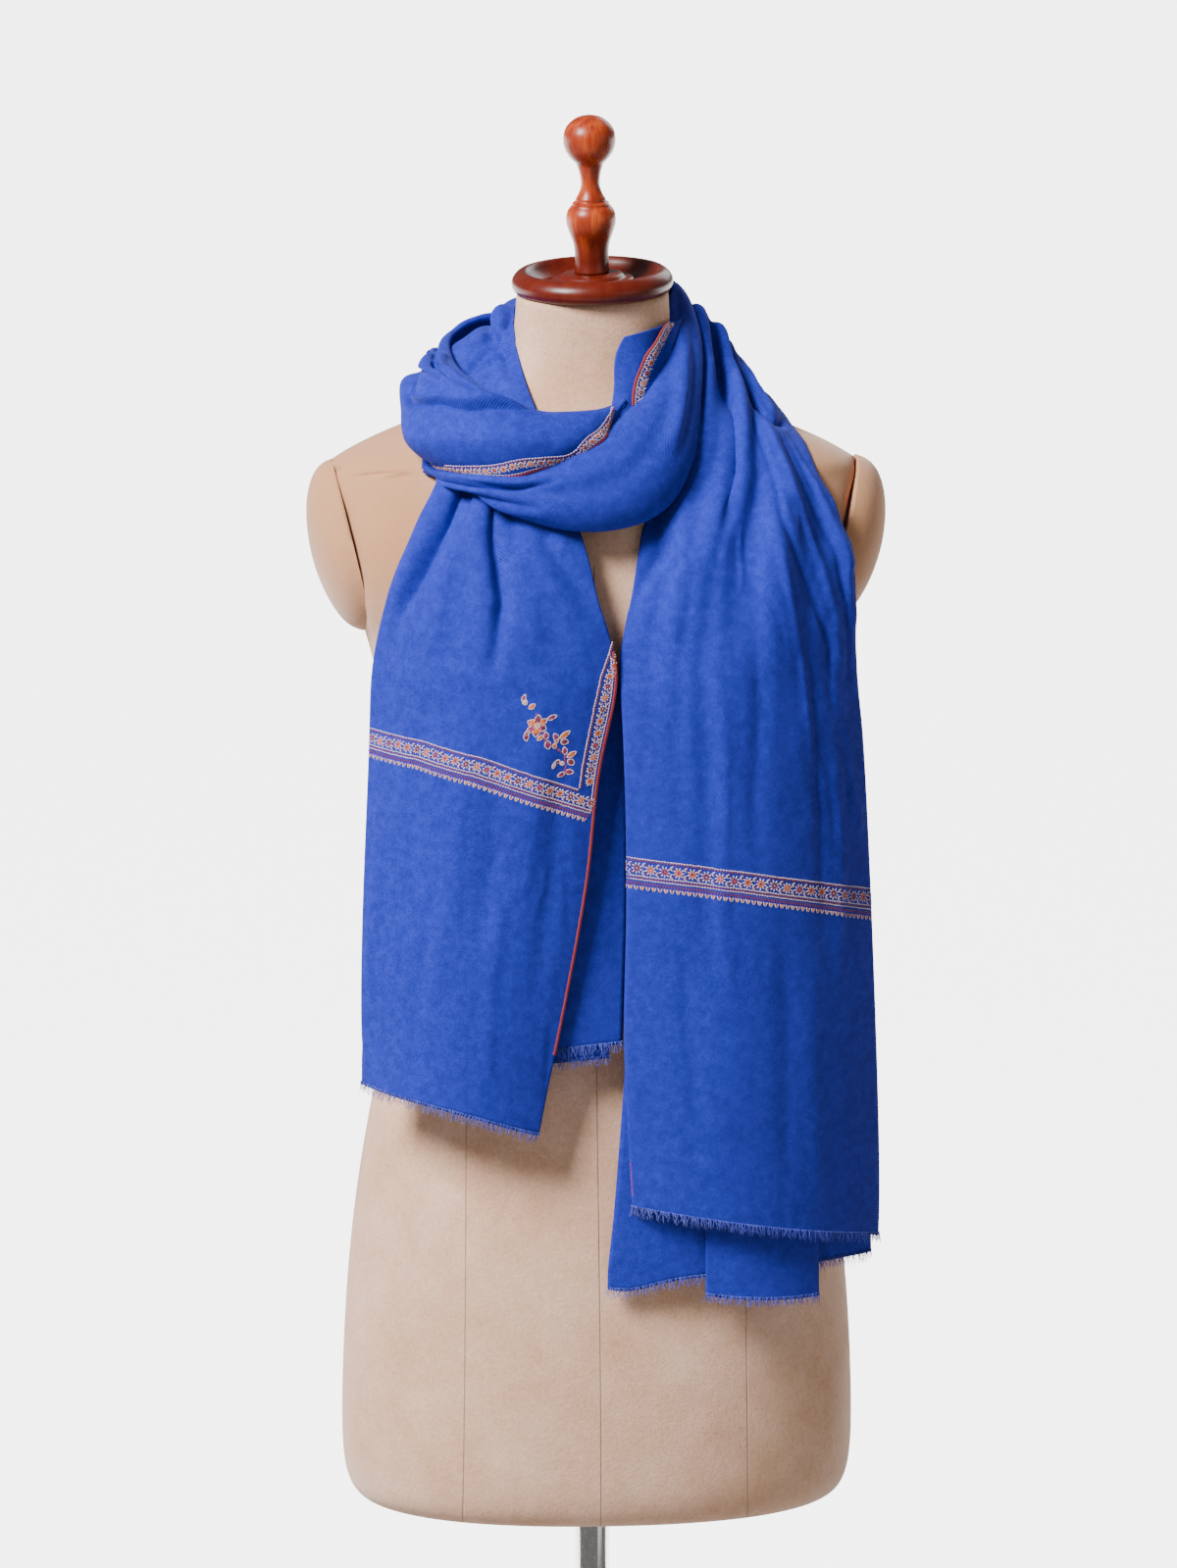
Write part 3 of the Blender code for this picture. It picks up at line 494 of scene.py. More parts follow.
# From the front of the loop round the back of the neck and over the shoulder to the long hem
OUTER = (
    (17, -66, 1469, 17, -72, 1464, 2, 0),
    (4, -76, 1462, 3, -88, 1450, 5, 0),
    (-18, -86, 1461, -18, -107, 1438, 9, 0),
    (-45, -87, 1463, -48, -116, 1431, 14, 0),
    (-68, -78, 1472, -76, -111, 1429, 19, 0),
    (-88, -58, 1483, -104, -86, 1425, 26, 0),
    (-99, -28, 1491, -118, -52, 1433, 26, 0.1),
    (-101, 4, 1499, -120, -12, 1448, 22, 0.3),
    (-96, 32, 1501, -116, 30, 1450, 18, 0.6),
    (-79, 56, 1503, -98, 66, 1432, 15, 0.9),
    (-42, 75, 1512, -54, 98, 1386, 12, 1),
    (0, 83, 1520, -4, 108, 1376, 10, 1),
    (38, 76, 1526, 48, 102, 1374, 9, 1),
    (62, 55, 1528, 90, 86, 1390, 7, 1),
    (73, 30, 1522, 117, 48, 1441, 4, 1),
    (78, 8.5, 1510, 134, 10.5, 1447, 0, 1),
    (74, -26, 1474, 144, -42, 1427, 5, 1),
    (62, -68, 1424, 156, -72, 1386, 15, 1),
    (33, -98, 1384, 164, -86, 1350, 23, 1),
    (16, -115, 1334, 170.5, -92, 1312, 26, 1),
    (9, -126, 1296, 175, -93, 1275, 26, 1),
    (10.5, -132, 1262, 179, -93, 1240, 26, 1),
    (13, -134, 1182, 183, -93, 1173, 26, 1),
    (13, -134, 1110, 186.5, -92, 1100, 26, 1),
    (12, -134, 1036, 190.5, -90, 1003, 28, 1),
    (15.5, -134, 960, 192.5, -88, 930, 28, 1),
    (17.5, -134, 924, 192, -88, 893, 28, 1),
)
LONG_END_PLEAT = (
    (68, -126, 1040, 147, -108, 1040, 6, 1),
    (68, -128, 950, 147, -110, 950, 6, 1),
    (68, -131, 871, 147, -114, 866, 7, 1),
)
LONG_END_UNDER = (
    (48, -90, 1376, 150, -80, 1352, 6, 1),
    (24, -108, 1320, 162, -84, 1300, 10, 1),
    (19, -116, 1262, 170, -84, 1240, 14, 1),
    (19, -118, 1180, 175, -84, 1170, 16, 1),
    (19, -120, 1080, 181, -84, 1080, 18, 1),
    (8, -124, 980, 184, -84, 980, 18, 1),
    (4, -127, 871, 186, -82, 880, 16, 1),
)
SHORT_END = (
    (-104, -76, 1424, -24, -94, 1408, 2, 1),
    (-117, -86, 1400, -17, -105, 1388, 10, 1),
    (-136, -90, 1366, -10, -116, 1364, 18, 1),
    (-149, -92, 1330, -3, -124, 1335, 24, 1),
    (-157, -92, 1290, 6, -129, 1302, 28, 1),
    (-159, -92, 1250, 5, -132, 1270, 28, 1),
    (-161, -92, 1200, -5, -133, 1222, 27, 1),
    (-163.5, -92, 1140, -11, -133, 1165, 26, 1),
    (-165, -92, 1080, -22, -133, 1095, 26, 1),
    (-165.4, -92, 1012, -43, -133, 981, 24, 1),
)
SHORT_END_UNDER = (
    (-103, -77, 1403, -34, -92, 1392, 2, 1),
    (-121, -82, 1370, -18, -104, 1364, 6, 1),
    (-144, -86, 1310, -1, -114, 1308, 11, 1),
    (-150, -86, 1262, 9, -117, 1266, 14, 1),
    (-155.8, -87, 1200, 9, -119, 1205, 16, 1),
    (-158.8, -87, 1120, 10, -121, 1130, 16, 1),
    (-160, -86, 1019, 10, -123, 1036, 16, 1),
)
SHORT_END_INNER = (
    (-60, -120, 1180, 3, -119, 1180, 2, 1),
    (-56, -121, 1100, 3, -120, 1100, 2, 1),
    (-52, -122, 1022, 3, -121, 1026, 2, 1),
)

# The deepest folds, some of them softer here than in the CAD solids. Each row: the stations it
# begins and ends at, its place across at each end, -1 to 1, its half width as a share, and its
# height in mm.
SHORT_END_FOLDS = (
    (-4.0, 4.2, 0.70, -0.62, 0.11, -9),
    (-3.0, 2.8, 0.10, -0.85, 0.14, 6),
    (-4.0, 4.2, 0.55, 0.22, 0.09, -4.5),
    (-4.0, 4.6, 0.45, -0.10, 0.15, 6),
    (-3.0, 3.8, 0.72, 0.62, 0.14, 5),
)
OUTER_FOLDS = (
    (3.4, 14.0, 0.75, 0.35, 0.10, -7),
    (4.0, 13.0, 0.45, 0.10, 0.09, -6),
    (4.6, 12.5, 0.08, -0.30, 0.09, -5),
    (9.0, 16.5, 0.80, 0.55, 0.09, -6),
    (9.5, 16.0, -0.55, -0.50, 0.10, -5),
    (15.3, 20.0, 0.05, 0.10, 0.10, -6),
    (15.4, 19.5, 0.34, 0.45, 0.12, 5),
    (15.8, 20.2, -0.30, -0.20, 0.13, 5),
    (15.8, 19.2, -0.66, -0.48, 0.09, -3),
    (16.4, 22.0, 0.62, 0.72, 0.06, -3),
    (16.6, 24.0, 0.30, 0.38, 0.06, -3),
)
LOOP_LOWER_FOLDS = (
    (3.8, 9.0, 0.35, 0.10, 0.14, -3.5),
    (4.2, 9.0, -0.10, -0.40, 0.12, -3),
)
NECK_INNER_FOLDS = (
    (0.8, 7.2, 0.30, 0.20, 0.16, -4),
    (1.2, 6.8, -0.40, -0.45, 0.16, -3),
)


wool = Finish(
    "wool twill",
    0.86,
    Sheen_Weight=0.05,
    Sheen_Roughness=0.42,
    Sheen_Tint=WOOL_SHEEN,
    Specular_IOR_Level=0.18,
)
axes = wool.axes(wool.node("TexCoord").outputs["UV"])
twill = wool.worked("ADD", axes["X"], axes["Y"])
twill = wool.worked("SINE", wool.worked("MULTIPLY", twill, 2 * math.pi / TWILL_SPACING))
nap = wool.grain(620, 4, 0.8)
felting = wool.grain(150, 4, 0.7)
worn = wool.worked("MULTIPLY", wool.grain(14, 3, 0.5), WORN_SHARE)
mixed = wool.worked("MULTIPLY", wool.worked("ADD", nap, felting), NAP_SHARE)
mixed = wool.worked("ADD", mixed, worn)
mixed = wool.worked("ADD", mixed, wool.worked("MULTIPLY", twill, TWILL_SHARE))
tone = wool.shades(mixed, (0.36, WOOL_DEEP), (0.50, WOOL), (0.66, WOOL_PALE))
wool.feed("Base Color", tone)
bumps = wool.relief(felting, 0.35, 0.0012)
bumps = wool.relief(nap, 0.45, 0.0005, bumps)
wool.relief(twill, 0.45, 0.00016, bumps)


def curve_through(rows):
    """A natural cubic curve through rows, as a function of the row's number."""
    values = np.array(rows, float)
    last = len(values) - 1
    system = np.eye(last + 1)
    pull = np.zeros_like(values)
    for i in range(1, last):
        system[i, i - 1 : i + 2] = 1, 4, 1
        pull[i] = 6 * (values[i - 1] - 2 * values[i] + values[i + 1])
    bend = np.linalg.solve(system, pull)

    def at(place):
        i = min(max(int(place), 0), last - 1)
        after = place - i
        before = 1 - after
        line = before * values[i] + after * values[i + 1]
        curved = (before**3 - before) * bend[i] + (after**3 - after) * bend[i + 1]
        return line + curved / 6

    return at


def section_of(across, half_height, bulge, curls):
    """A hanging panel's section: a crowned face, each edge turned under by a half circle."""
    curl = np.where(across > 0, curls[1], curls[0])
    share = np.where(curl > 0, FOLDED_SHARE, 1e-9)
    place = np.clip(np.abs(across) / (1 - share), 0, 1)
    reach = half_height - curl
    slope = np.arctan2(2 * bulge, reach)
    turn = math.pi * np.clip((np.abs(across) - (1 - share)) / share, 0, 1)
    up = place * reach + curl * (np.sin(slope + turn) - np.sin(slope))
    out = bulge * (1 - place**2) - curl * (np.cos(slope) - np.cos(slope + turn))
    return np.sign(across) * up, out


def stretch_of(stations, columns, rows, folds=(), curls=NO_CURL):
    """A stretch's points, row by row from its beginning, with its deepest folds."""
    at = curve_through(stations)
    last = len(stations) - 1.0
    across = np.linspace(-1, 1, columns + 1)
    points = []
    for along in np.linspace(0.0, last, rows + 1):
        row = at(along)
        first, second, bulge, flat = row[:3] / 1000, row[3:6] / 1000, row[6] / 1000, row[7]
        after = at(min(along + STATION_STEP, last))
        before = at(max(along - STATION_STEP, 0.0))
        ahead = after[:3] + after[3:6] - before[:3] - before[3:6]
        half = (first - second) / 2
        half_height = np.linalg.norm(half)
        rise = half / half_height
        outward = np.cross(half, ahead)
        outward /= np.linalg.norm(outward)
        up, out = section_of(across, half_height, bulge, curls)
        tip = across * np.where(across > 0, ROLL_OPENING[1], ROLL_OPENING[0])
        up = up * flat + half_height * np.sin(tip) * (1 - flat)
        out = out * flat + bulge * np.cos(tip) * (1 - flat)
        tip = tip * (1 - flat)
        lift = outward * np.cos(tip)[:, None] + rise * np.sin(tip)[:, None]
        height = np.zeros(columns + 1)
        for start, stop, from_side, to_side, half_width, deep in folds:
            share = (along - start) / (stop - start)
            if 0 < share < 1:
                middle = from_side + (to_side - from_side) * share
                spread = half_width * (1 + FOLD_WIDENING * share)
                fade = math.sin(math.pi * share) ** FOLD_FADE
                height += deep / 1000 * fade * np.exp(-(((across - middle) / spread) ** 2))
        middle = (first + second) / 2
        spots = middle + rise * up[:, None] + outward * out[:, None] + lift * height[:, None]
        points.append(spots)
    return np.array(points)


def eased(field, rounds):
    """A field on a cloth's grid, evened out between neighbours a number of times."""
    for _ in range(rounds):
        around = np.pad(field, ((1, 1), (1, 1), (0, 0)), mode="edge")
        field = around[:-2, 1:-1] + around[2:, 1:-1] + around[1:-1, :-2] + around[1:-1, 2:]
        field = field / 4
    return field


def solid_of(*nodes):
    shape = bmesh.new()
    for node in nodes:
        shape.from_mesh(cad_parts[node].data)
    solid = BVHTree.FromBMesh(shape)
    shape.free()
    return solid


def settled(points, *nodes, until=1000):
    """A stretch drawn onto its CAD solids, evenly, so that their facets don't show in it. The
    draw fades out at a row, if one is given."""
    solid = solid_of(*nodes)
    share = np.clip((until - np.arange(len(points))) / SETTLING_END, 0, 1)[:, None, None]
    for _ in range(SETTLING_ROUNDS):
        moves = [
            [solid.find_nearest(Vector(spot))[0] - Vector(spot) for spot in row] for row in points
        ]
        points = points + eased(np.array(moves), SETTLING) * share
    return points


def outward_of(points):
    """The direction out of the cloth's face at each of its points."""
    across = np.gradient(points, axis=1)
    along = np.gradient(points, axis=0)
    out = np.cross(across, along)
    return out / np.maximum(np.linalg.norm(out, axis=2), 1e-12)[:, :, None]


def flat_places(points):
    """Where each point is on the cloth laid flat, in mm: from the middle, and from the start."""
    steps = np.linalg.norm(np.diff(points, axis=1), axis=2) * 1000
    across = np.concatenate([np.zeros((len(points), 1)), np.cumsum(steps, axis=1)], axis=1)
    middle = points.shape[1] // 2
    across -= across[:, middle : middle + 1]
    steps = np.linalg.norm(np.diff(points[:, middle], axis=0), axis=1) * 1000
    along = np.concatenate([[0.0], np.cumsum(steps)])
    return across, np.broadcast_to(along[:, None], across.shape)


def crease_height(across, along, creases):
    """The sum of a stretch's creases. Each row: its height in mm, its half width towards the
    first edge and the second, how it fades at each end, and its line on the flat cloth."""
    total = np.zeros_like(across)
    for height, first, second, fade, line in creases:
        line = np.array(line, float)
        best = np.full(across.shape, 1e9)
        side = np.zeros_like(across)
        share = np.zeros_like(across)
        lengths = np.linalg.norm(np.diff(line, axis=0), axis=1)
        whole = lengths.sum()
        gone = 0.0
        for start, stop, length in zip(line[:-1], line[1:], lengths):
            run = (stop - start) / length
            x, y = across - start[0], along - start[1]
            reach = np.clip(x * run[0] + y * run[1], 0, length)
            dx, dy = x - reach * run[0], y - reach * run[1]
            distance = np.hypot(dx, dy)
            nearer = distance < best
            best = np.where(nearer, distance, best)
            side = np.where(nearer, dx * run[1] - dy * run[0], side)
            share = np.where(nearer, (gone + reach) / whole, share)
            gone += length
        width = np.where(side > 0, first, second)
        ends = np.clip(share / fade[0], 0, 1) * np.clip((1 - share) / fade[1], 0, 1)
        total += height * ends * (2 - ends) * np.exp(-((best / width) ** 2))
    return total


def nudged(points, across, along, nudges):
    """Parts of a stretch moved a little. Each row: a place on the flat cloth, how far
    the move reaches across and along, and the move, all in mm. A place along of 0 is the hem."""
    for x, y, wide, far, move in nudges:
        y = y or along[-1, 0]
        share = np.exp(-(((across - x) / wide) ** 2) - ((along - y) / far) ** 2)
        points = points + share[:, :, None] * np.array(move) / 1000
    return points


def creased(points, across, along, creases):
    height = crease_height(across, along, creases)
    return points + outward_of(points) * height[:, :, None] / 1000


def small_creases(seed, count, from_across, to_across, from_along, to_along, lean, size):
    """Fine uneven creases that run along the fall of the cloth, for a part of a stretch."""
    chance = np.random.default_rng(seed)
    rows = []
    for _ in range(count):
        x = chance.uniform(from_across, to_across)
        y = chance.uniform(from_along, to_along)
        length = chance.uniform(18, 70)
        slope = lean + chance.normal(0, 0.10)
        width = chance.uniform(2.2, 5.5) * size
        height = chance.uniform(0.25, 0.95) * size * chance.choice((-1, 1))
        bow = chance.normal(0, 0.05) * length
        middle = (x + slope * length / 2 + bow, y + length / 2)
        line = ((x, y), middle, (x + slope * length, y + length))
        rows.append((height, width, width, (0.5, 0.5), line))
    return rows


def kept_clear(points, skins, tucked=(0, 0)):
    """Points pushed out of the finer sheets beneath them, with the push evened out. The columns
    tucked under at the second edge and at the first move with the face beside them."""
    first, last = tucked[0], points.shape[1] - 1 - tucked[1]
    reach = PROBE + LAYER_GAP
    for _ in range(2):
        out = outward_of(points)
        push = np.zeros(points.shape[:2])
        for j, row in enumerate(points):
            for i in range(first, last + 1):
                above = Vector(row[i] + out[j, i] * PROBE)
                for skin in skins:
                    hit = skin.ray_cast(above, Vector(-out[j, i]), reach)
                    if hit[0] is not None:
                        push[j, i] = max(push[j, i], reach - hit[3])
        push = np.maximum(push, PUSH_SPREAD * eased(push[:, :, None], PUSH_ROUNDS)[:, :, 0])
        moves = out * push[:, :, None]
        moves[:, :first] = moves[:, first : first + 1]
        moves[:, last + 1 :] = moves[:, last : last + 1]
        points = points + eased(moves, MOVE_ROUNDS)
    return points


def grid_faces(points):
    rows, columns = points.shape[0] - 1, points.shape[1] - 1
    corner = np.arange(rows * (columns + 1)).reshape(rows, columns + 1)[:, :-1].ravel()
    return np.stack([corner, corner + 1, corner + columns + 2, corner + columns + 1], axis=1)


def skin_of(points):
    return BVHTree.FromPolygons(points.reshape(-1, 3).tolist(), grid_faces(points).tolist())


def woven(name, points, nodes=(), nudges=(), creases=(), skins=(), tucked=(0, 0)):
    """A stretch as a thin sheet of twill, nudged, creased and kept clear of what is beneath it,
    with the flat cloth as its map. Also its points with their places on the flat cloth."""
    across, along = flat_places(points)
    points = nudged(points, across, along, nudges)
    points = creased(points, across, along, creases)
    if skins:
        points = kept_clear(points, skins, tucked)
    faces = grid_faces(points)
    mesh = bpy.data.meshes.new(name)
    mesh.from_pydata(points.reshape(-1, 3), [], faces.tolist())
    places = np.stack([across.ravel(), along.ravel()], axis=1)[faces.ravel()] / 1000
    mesh.uv_layers.new(name="flat cloth").data.foreach_set("uv", places.ravel())
    mesh.shade_smooth()
    piece = added(name, mesh)
    wall = piece.modifiers.new("wall", "SOLIDIFY")
    wall.thickness = CLOTH_THICKNESS
    wall.offset = 0.0
    return fit(piece, wool, "shawl_cloth", *nodes), (points, across, along)


# The stretch that rises from under the loop on the left, passes behind the neck and comes down
# in front as the loop's lower roll.
INNER_CREASES = (
    # height, half widths, fades, line: the rise beside the neck
    (4.2, 5, 5, (0.3, 0.2), ((18, 190), (17.5, 149), (16, 85), (0.4, 66))),
    (-4.2, 4, 4, (0.2, 0.2), ((-4, 190), (-2.4, 158), (10, 100), (18, 57), (18, 39))),
    (-3.5, 4, 5, (0.3, 0.3), ((4, 190), (6, 240), (2, 300))),
    (2.8, 5, 5, (0.3, 0.3), ((-8, 200), (-8, 250), (-10, 320))),
    (-5, 2.6, 3.2, (0.3, 0.25), ((24, 120), (19, 96), (10, 81), (-2, 70), (-10, 62))),
    (-3.6, 2.2, 2.6, (0.3, 0.3), ((28, 73), (20, 69), (8, 67), (-3, 64))),
    (4.2, 4.6, 4, (0.3, 0.3), ((20, 128), (10, 109), (0, 93), (-8, 84))),
    # the lower roll, from the right side of the neck to the left
    (2.6, 8, 7, (0.3, 0.3), ((6, 350), (5.3, 379), (-1.6, 432), (-7.3, 468))),
    (-2.3, 5, 6, (0.3, 0.3), ((2, 340), (0.5, 353), (-5.6, 392), (-8.7, 434), (-17, 463))),
    (-1.8, 8, 8, (0.4, 0.4), ((14, 400), (10, 450), (-4, 500), (-12, 540))),
    (-4, 1.6, 2.4, (0.05, 0.4), ((-9, 668), (-10, 640), (-10.8, 615), (-6.5, 579), (2, 548))),
    (2.3, 3, 2, (0.05, 0.5), ((-4, 668), (-5, 640), (-6, 615), (-2, 579), (6, 548))),
    (-3.2, 2.4, 2.8, (0.05, 0.5), ((-17, 664), (-19, 630), (-18.8, 601), (-17, 560))),
    (-2, 1.8, 2, (0.05, 0.5), ((-2, 668), (-2, 630), (1, 596), (8, 562))),
    (1.8, 4, 4, (0.2, 0.5), ((-24, 650), (-25, 600), (-22, 550))),
)

INNER_NUDGES = ((24, 110, 16, 60, (4.5, 0, 0)), (-14, 96, 12, 40, (-10, -3, 5)))

form_skin = solid_of("dress_form", "shoulder_cap_left", "shoulder_cap_right")
inner_table = NECK_INNER[:-1] + LOOP_LOWER
behind = len(NECK_INNER) - 1
inner_folds = NECK_INNER_FOLDS + tuple(
    (start + behind, stop + behind, *rest) for start, stop, *rest in LOOP_LOWER_FOLDS
)
points = settled(stretch_of(inner_table, 72, 230, inner_folds), "neck_inner", "loop_lower")
inner_nodes = ("neck_inner", "loop_lower")
inner_wrap, _ = woven("inner_wrap", points, inner_nodes, INNER_NUDGES, INNER_CREASES, (form_skin,))

# The cloth turned up between the neck and the loop on the right, the selvedge that laps it there,
# and the selvedge that shows between the loop's two rolls.
LIP_TOP = (
    (17.8, -51, 1509.5, 50, -24, 1515.5, 6, 1),
    (11.5, -55, 1496.2, 44, -38, 1500, 4, 1),
    (10.3, -61, 1479.7, 33.6, -54, 1481.9, 2, 1),
    (8.4, -70, 1467.3, 26.2, -63, 1467.8, 2, 1),
    (5.1, -86, 1457, 18.8, -78, 1456, 1, 1),
    (1.4, -93, 1446, 10.4, -88, 1445, 1, 1),
)
LOOP_SELVEDGE = (
    (48.5, -23.5, 1514.5, 60, -12, 1517, 1, 1),
    (39.5, -37, 1503, 54, -28, 1504, 1, 1),
    (31.5, -46, 1493, 47, -38, 1492, 1, 1),
    (25.5, -59, 1483, 41, -48, 1479, 1, 1),
    (22.5, -67.5, 1472.5, 36, -58, 1467, 1, 1),
    (22, -71, 1465, 32, -65, 1458, 1, 1),
)
BETWEEN_ROLLS = (
    (8, -83.8, 1466, 8.8, -84.6, 1465, 0.3, 1),
    (-1.1, -100.2, 1455.4, 4.2, -95.4, 1452.2, 0.6, 1),
    (-7.9, -106.3, 1450.6, 1, -102.4, 1446.6, 0.6, 1),
    (-13.6, -110.1, 1447, -9.6, -107.6, 1439, 0.6, 1),
    (-22.1, -112.4, 1438.6, -20, -109, 1433.6, 0.5, 1),
    (-34.2, -117, 1437, -32.6, -112.4, 1429.6, 0.5, 1),
    (-46.9, -120.3, 1436.6, -43.1, -115.9, 1427.8, 0.6, 1),
    (-60.8, -121.1, 1435.3, -56.4, -117, 1424, 0.6, 1),
    (-74.4, -116.2, 1431.8, -72, -112.8, 1422.4, 0.6, 1),
    (-94.4, -104.6, 1429.6, -89.7, -102.8, 1423.2, 0.6, 1),
    (-105.1, -95, 1429, -98.7, -95.2, 1423.8, 0.6, 1),
    (-114.5, -72, 1427, -109.5, -80, 1424.2, 0.6, 1),
)

points = kept_clear(stretch_of(LIP_TOP, 24, 60), (form_skin,))
loop_lip, _ = woven("loop_turned_edge", points, ("loop_lip",))

points = kept_clear(stretch_of(LOOP_SELVEDGE, 18, 60), (skin_of(points),))
loop_selvedge, selvedge_cloth = woven("loop_selvedge", points)

points = stretch_of(BETWEEN_ROLLS, 14, 120)
between_rolls, between_cloth = woven("selvedge_between_rolls", points)

# The short end, on the left: a front layer with its selvedge on the right, a second layer that
# shows beyond the selvedge, and the corner of a third.
SHORT_CREASES = (
    # the two deep folds from under the loop, with the ridges beside them
    (-9, 8, 4.6, (0.02, 0.45), ((30, -10), (33.6, 21), (36, 42), (45, 67), (65, 103), (69, 135))),
    (6, 11, 12, (0.05, 0.6), ((20, 0), (21, 40), (30, 80), (38, 130))),
    (-6.8, 6, 5, (0.02, 0.5),
     ((8, -5), (7.4, 26), (1, 46), (-7, 66), (-13, 92), (-9, 119), (-4, 150))),
    (4.5, 10, 11, (0.05, 0.6), ((-12, 5), (-18, 50), (-30, 90), (-34, 140))),
    (-3.8, 8, 8, (0.1, 0.5), ((-30, 20), (-42, 54), (-65, 84), (-78, 112))),
    (3.8, 7, 8, (0.05, 0.5), ((50, 5), (56, 35), (58, 62), (66, 90), (72, 130))),
    # the long soft falls below
    (-1.7, 9, 9, (0.4, 0.4), ((38, 150), (44, 240), (40, 330))),
    (1.5, 10, 9, (0.4, 0.4), ((12, 160), (8, 260), (16, 370))),
    (-1.5, 8, 8, (0.4, 0.4), ((-12, 170), (-16, 260), (-10, 350))),
    (1.4, 9, 8, (0.4, 0.4), ((-40, 150), (-44, 230), (-36, 330))),
    (-1.4, 7, 8, (0.4, 0.4), ((-58, 190), (-60, 280), (-54, 380))),
    (1.4, 7, 7, (0.4, 0.4), ((70, 200), (74, 300), (70, 400))),
    (-1, 5, 6, (0.4, 0.3), ((24, 270), (28, 350), (24, 432))),
    (1, 6, 5, (0.4, 0.3), ((-28, 280), (-24, 350), (-30, 430))),
    *small_creases(5, 34, -76, 78, 40, 380, 0.02, 0.55),
)

SHORT_NUDGES = ((75, 440, 70, 60, (0, 0, -7)), (-85, 445, 60, 60, (-3, 0, -6)))
SHORT_UNDER_NUDGES = ((-88, 210, 16, 150, (6, 2, 0)),)
TUCKED_COLUMNS = 10

points = stretch_of(SHORT_END_INNER, 30, 50)
short_inner, short_third_cloth = woven("short_end_third", points, ("short_end_inner",))

short_under, short_second_cloth = woven(
    "short_end_second",
    stretch_of(SHORT_END_UNDER, 60, 140),
    ("short_end_under",),
    SHORT_UNDER_NUDGES,
    skins=(form_skin,),
)
short_under_skin = skin_of(short_second_cloth[0])

short_end, short_cloth = woven(
    "short_end_front",
    stretch_of(SHORT_END, 120, 250, SHORT_END_FOLDS, (0.0, FOLD_RADIUS)),
    ("short_end",),
    SHORT_NUDGES,
    SHORT_CREASES,
    (form_skin, short_under_skin),
    (0, TUCKED_COLUMNS),
)

# The long end's layers behind its front one.
LONG_UNDER_NUDGES = ((82, 485, 24, 24, (-4, 0, -7)), (82, 400, 22, 55, (3.5, 0, 0)))
LONG_PLEAT_NUDGES = ((0, 0, 90, 50, (0, 0, -11)),)

points = stretch_of(LONG_END_UNDER, 60, 160)
long_under, long_second_cloth = woven(
    "long_end_second", points, ("long_end_under",), LONG_UNDER_NUDGES
)

points = stretch_of(LONG_END_PLEAT, 40, 60)
long_pleat, long_middle_cloth = woven(
    "long_end_middle", points, ("long_end_pleat",), LONG_PLEAT_NUDGES
)

# The outer stretch, in one piece: the loop's upper roll, the swathe behind the neck, and the
# long end that hangs from the right shoulder.
LOOP_ROWS = 215
OUTER_NUDGES = (
    # place across and along, reach across and along, move: under the loop on the right
    (58, 655, 16, 42, (-9, -1, 0)),
    (52, 600, 14, 30, (-6, -1, 0)),
    (72, 745, 24, 34, (-11, 0, 1)),
    # the long end's outer edge on the shoulder
    (-70, 742, 26, 46, (12.5, 0, 0)),
    (-81, 808, 20, 36, (4.5, 0, 0)),
    (-44, 700, 20, 25, (4, 0, 1)),
    # the loop's left side, and the swathe's top edge on the left and the right
    (6, 240, 18, 45, (12, 1, -1)),
    (-28, 178, 14, 26, (-5, 0, 0)),
    (46, 308, 20, 40, (0, 0, 7)),
    (48, 352, 20, 40, (0, 0, 8)),
    (30, 585, 16, 24, (3, 0, 5)),
    # the swathe's top edge behind the neck
    (44, 430, 24, 90, (0, -12, 0)),
)
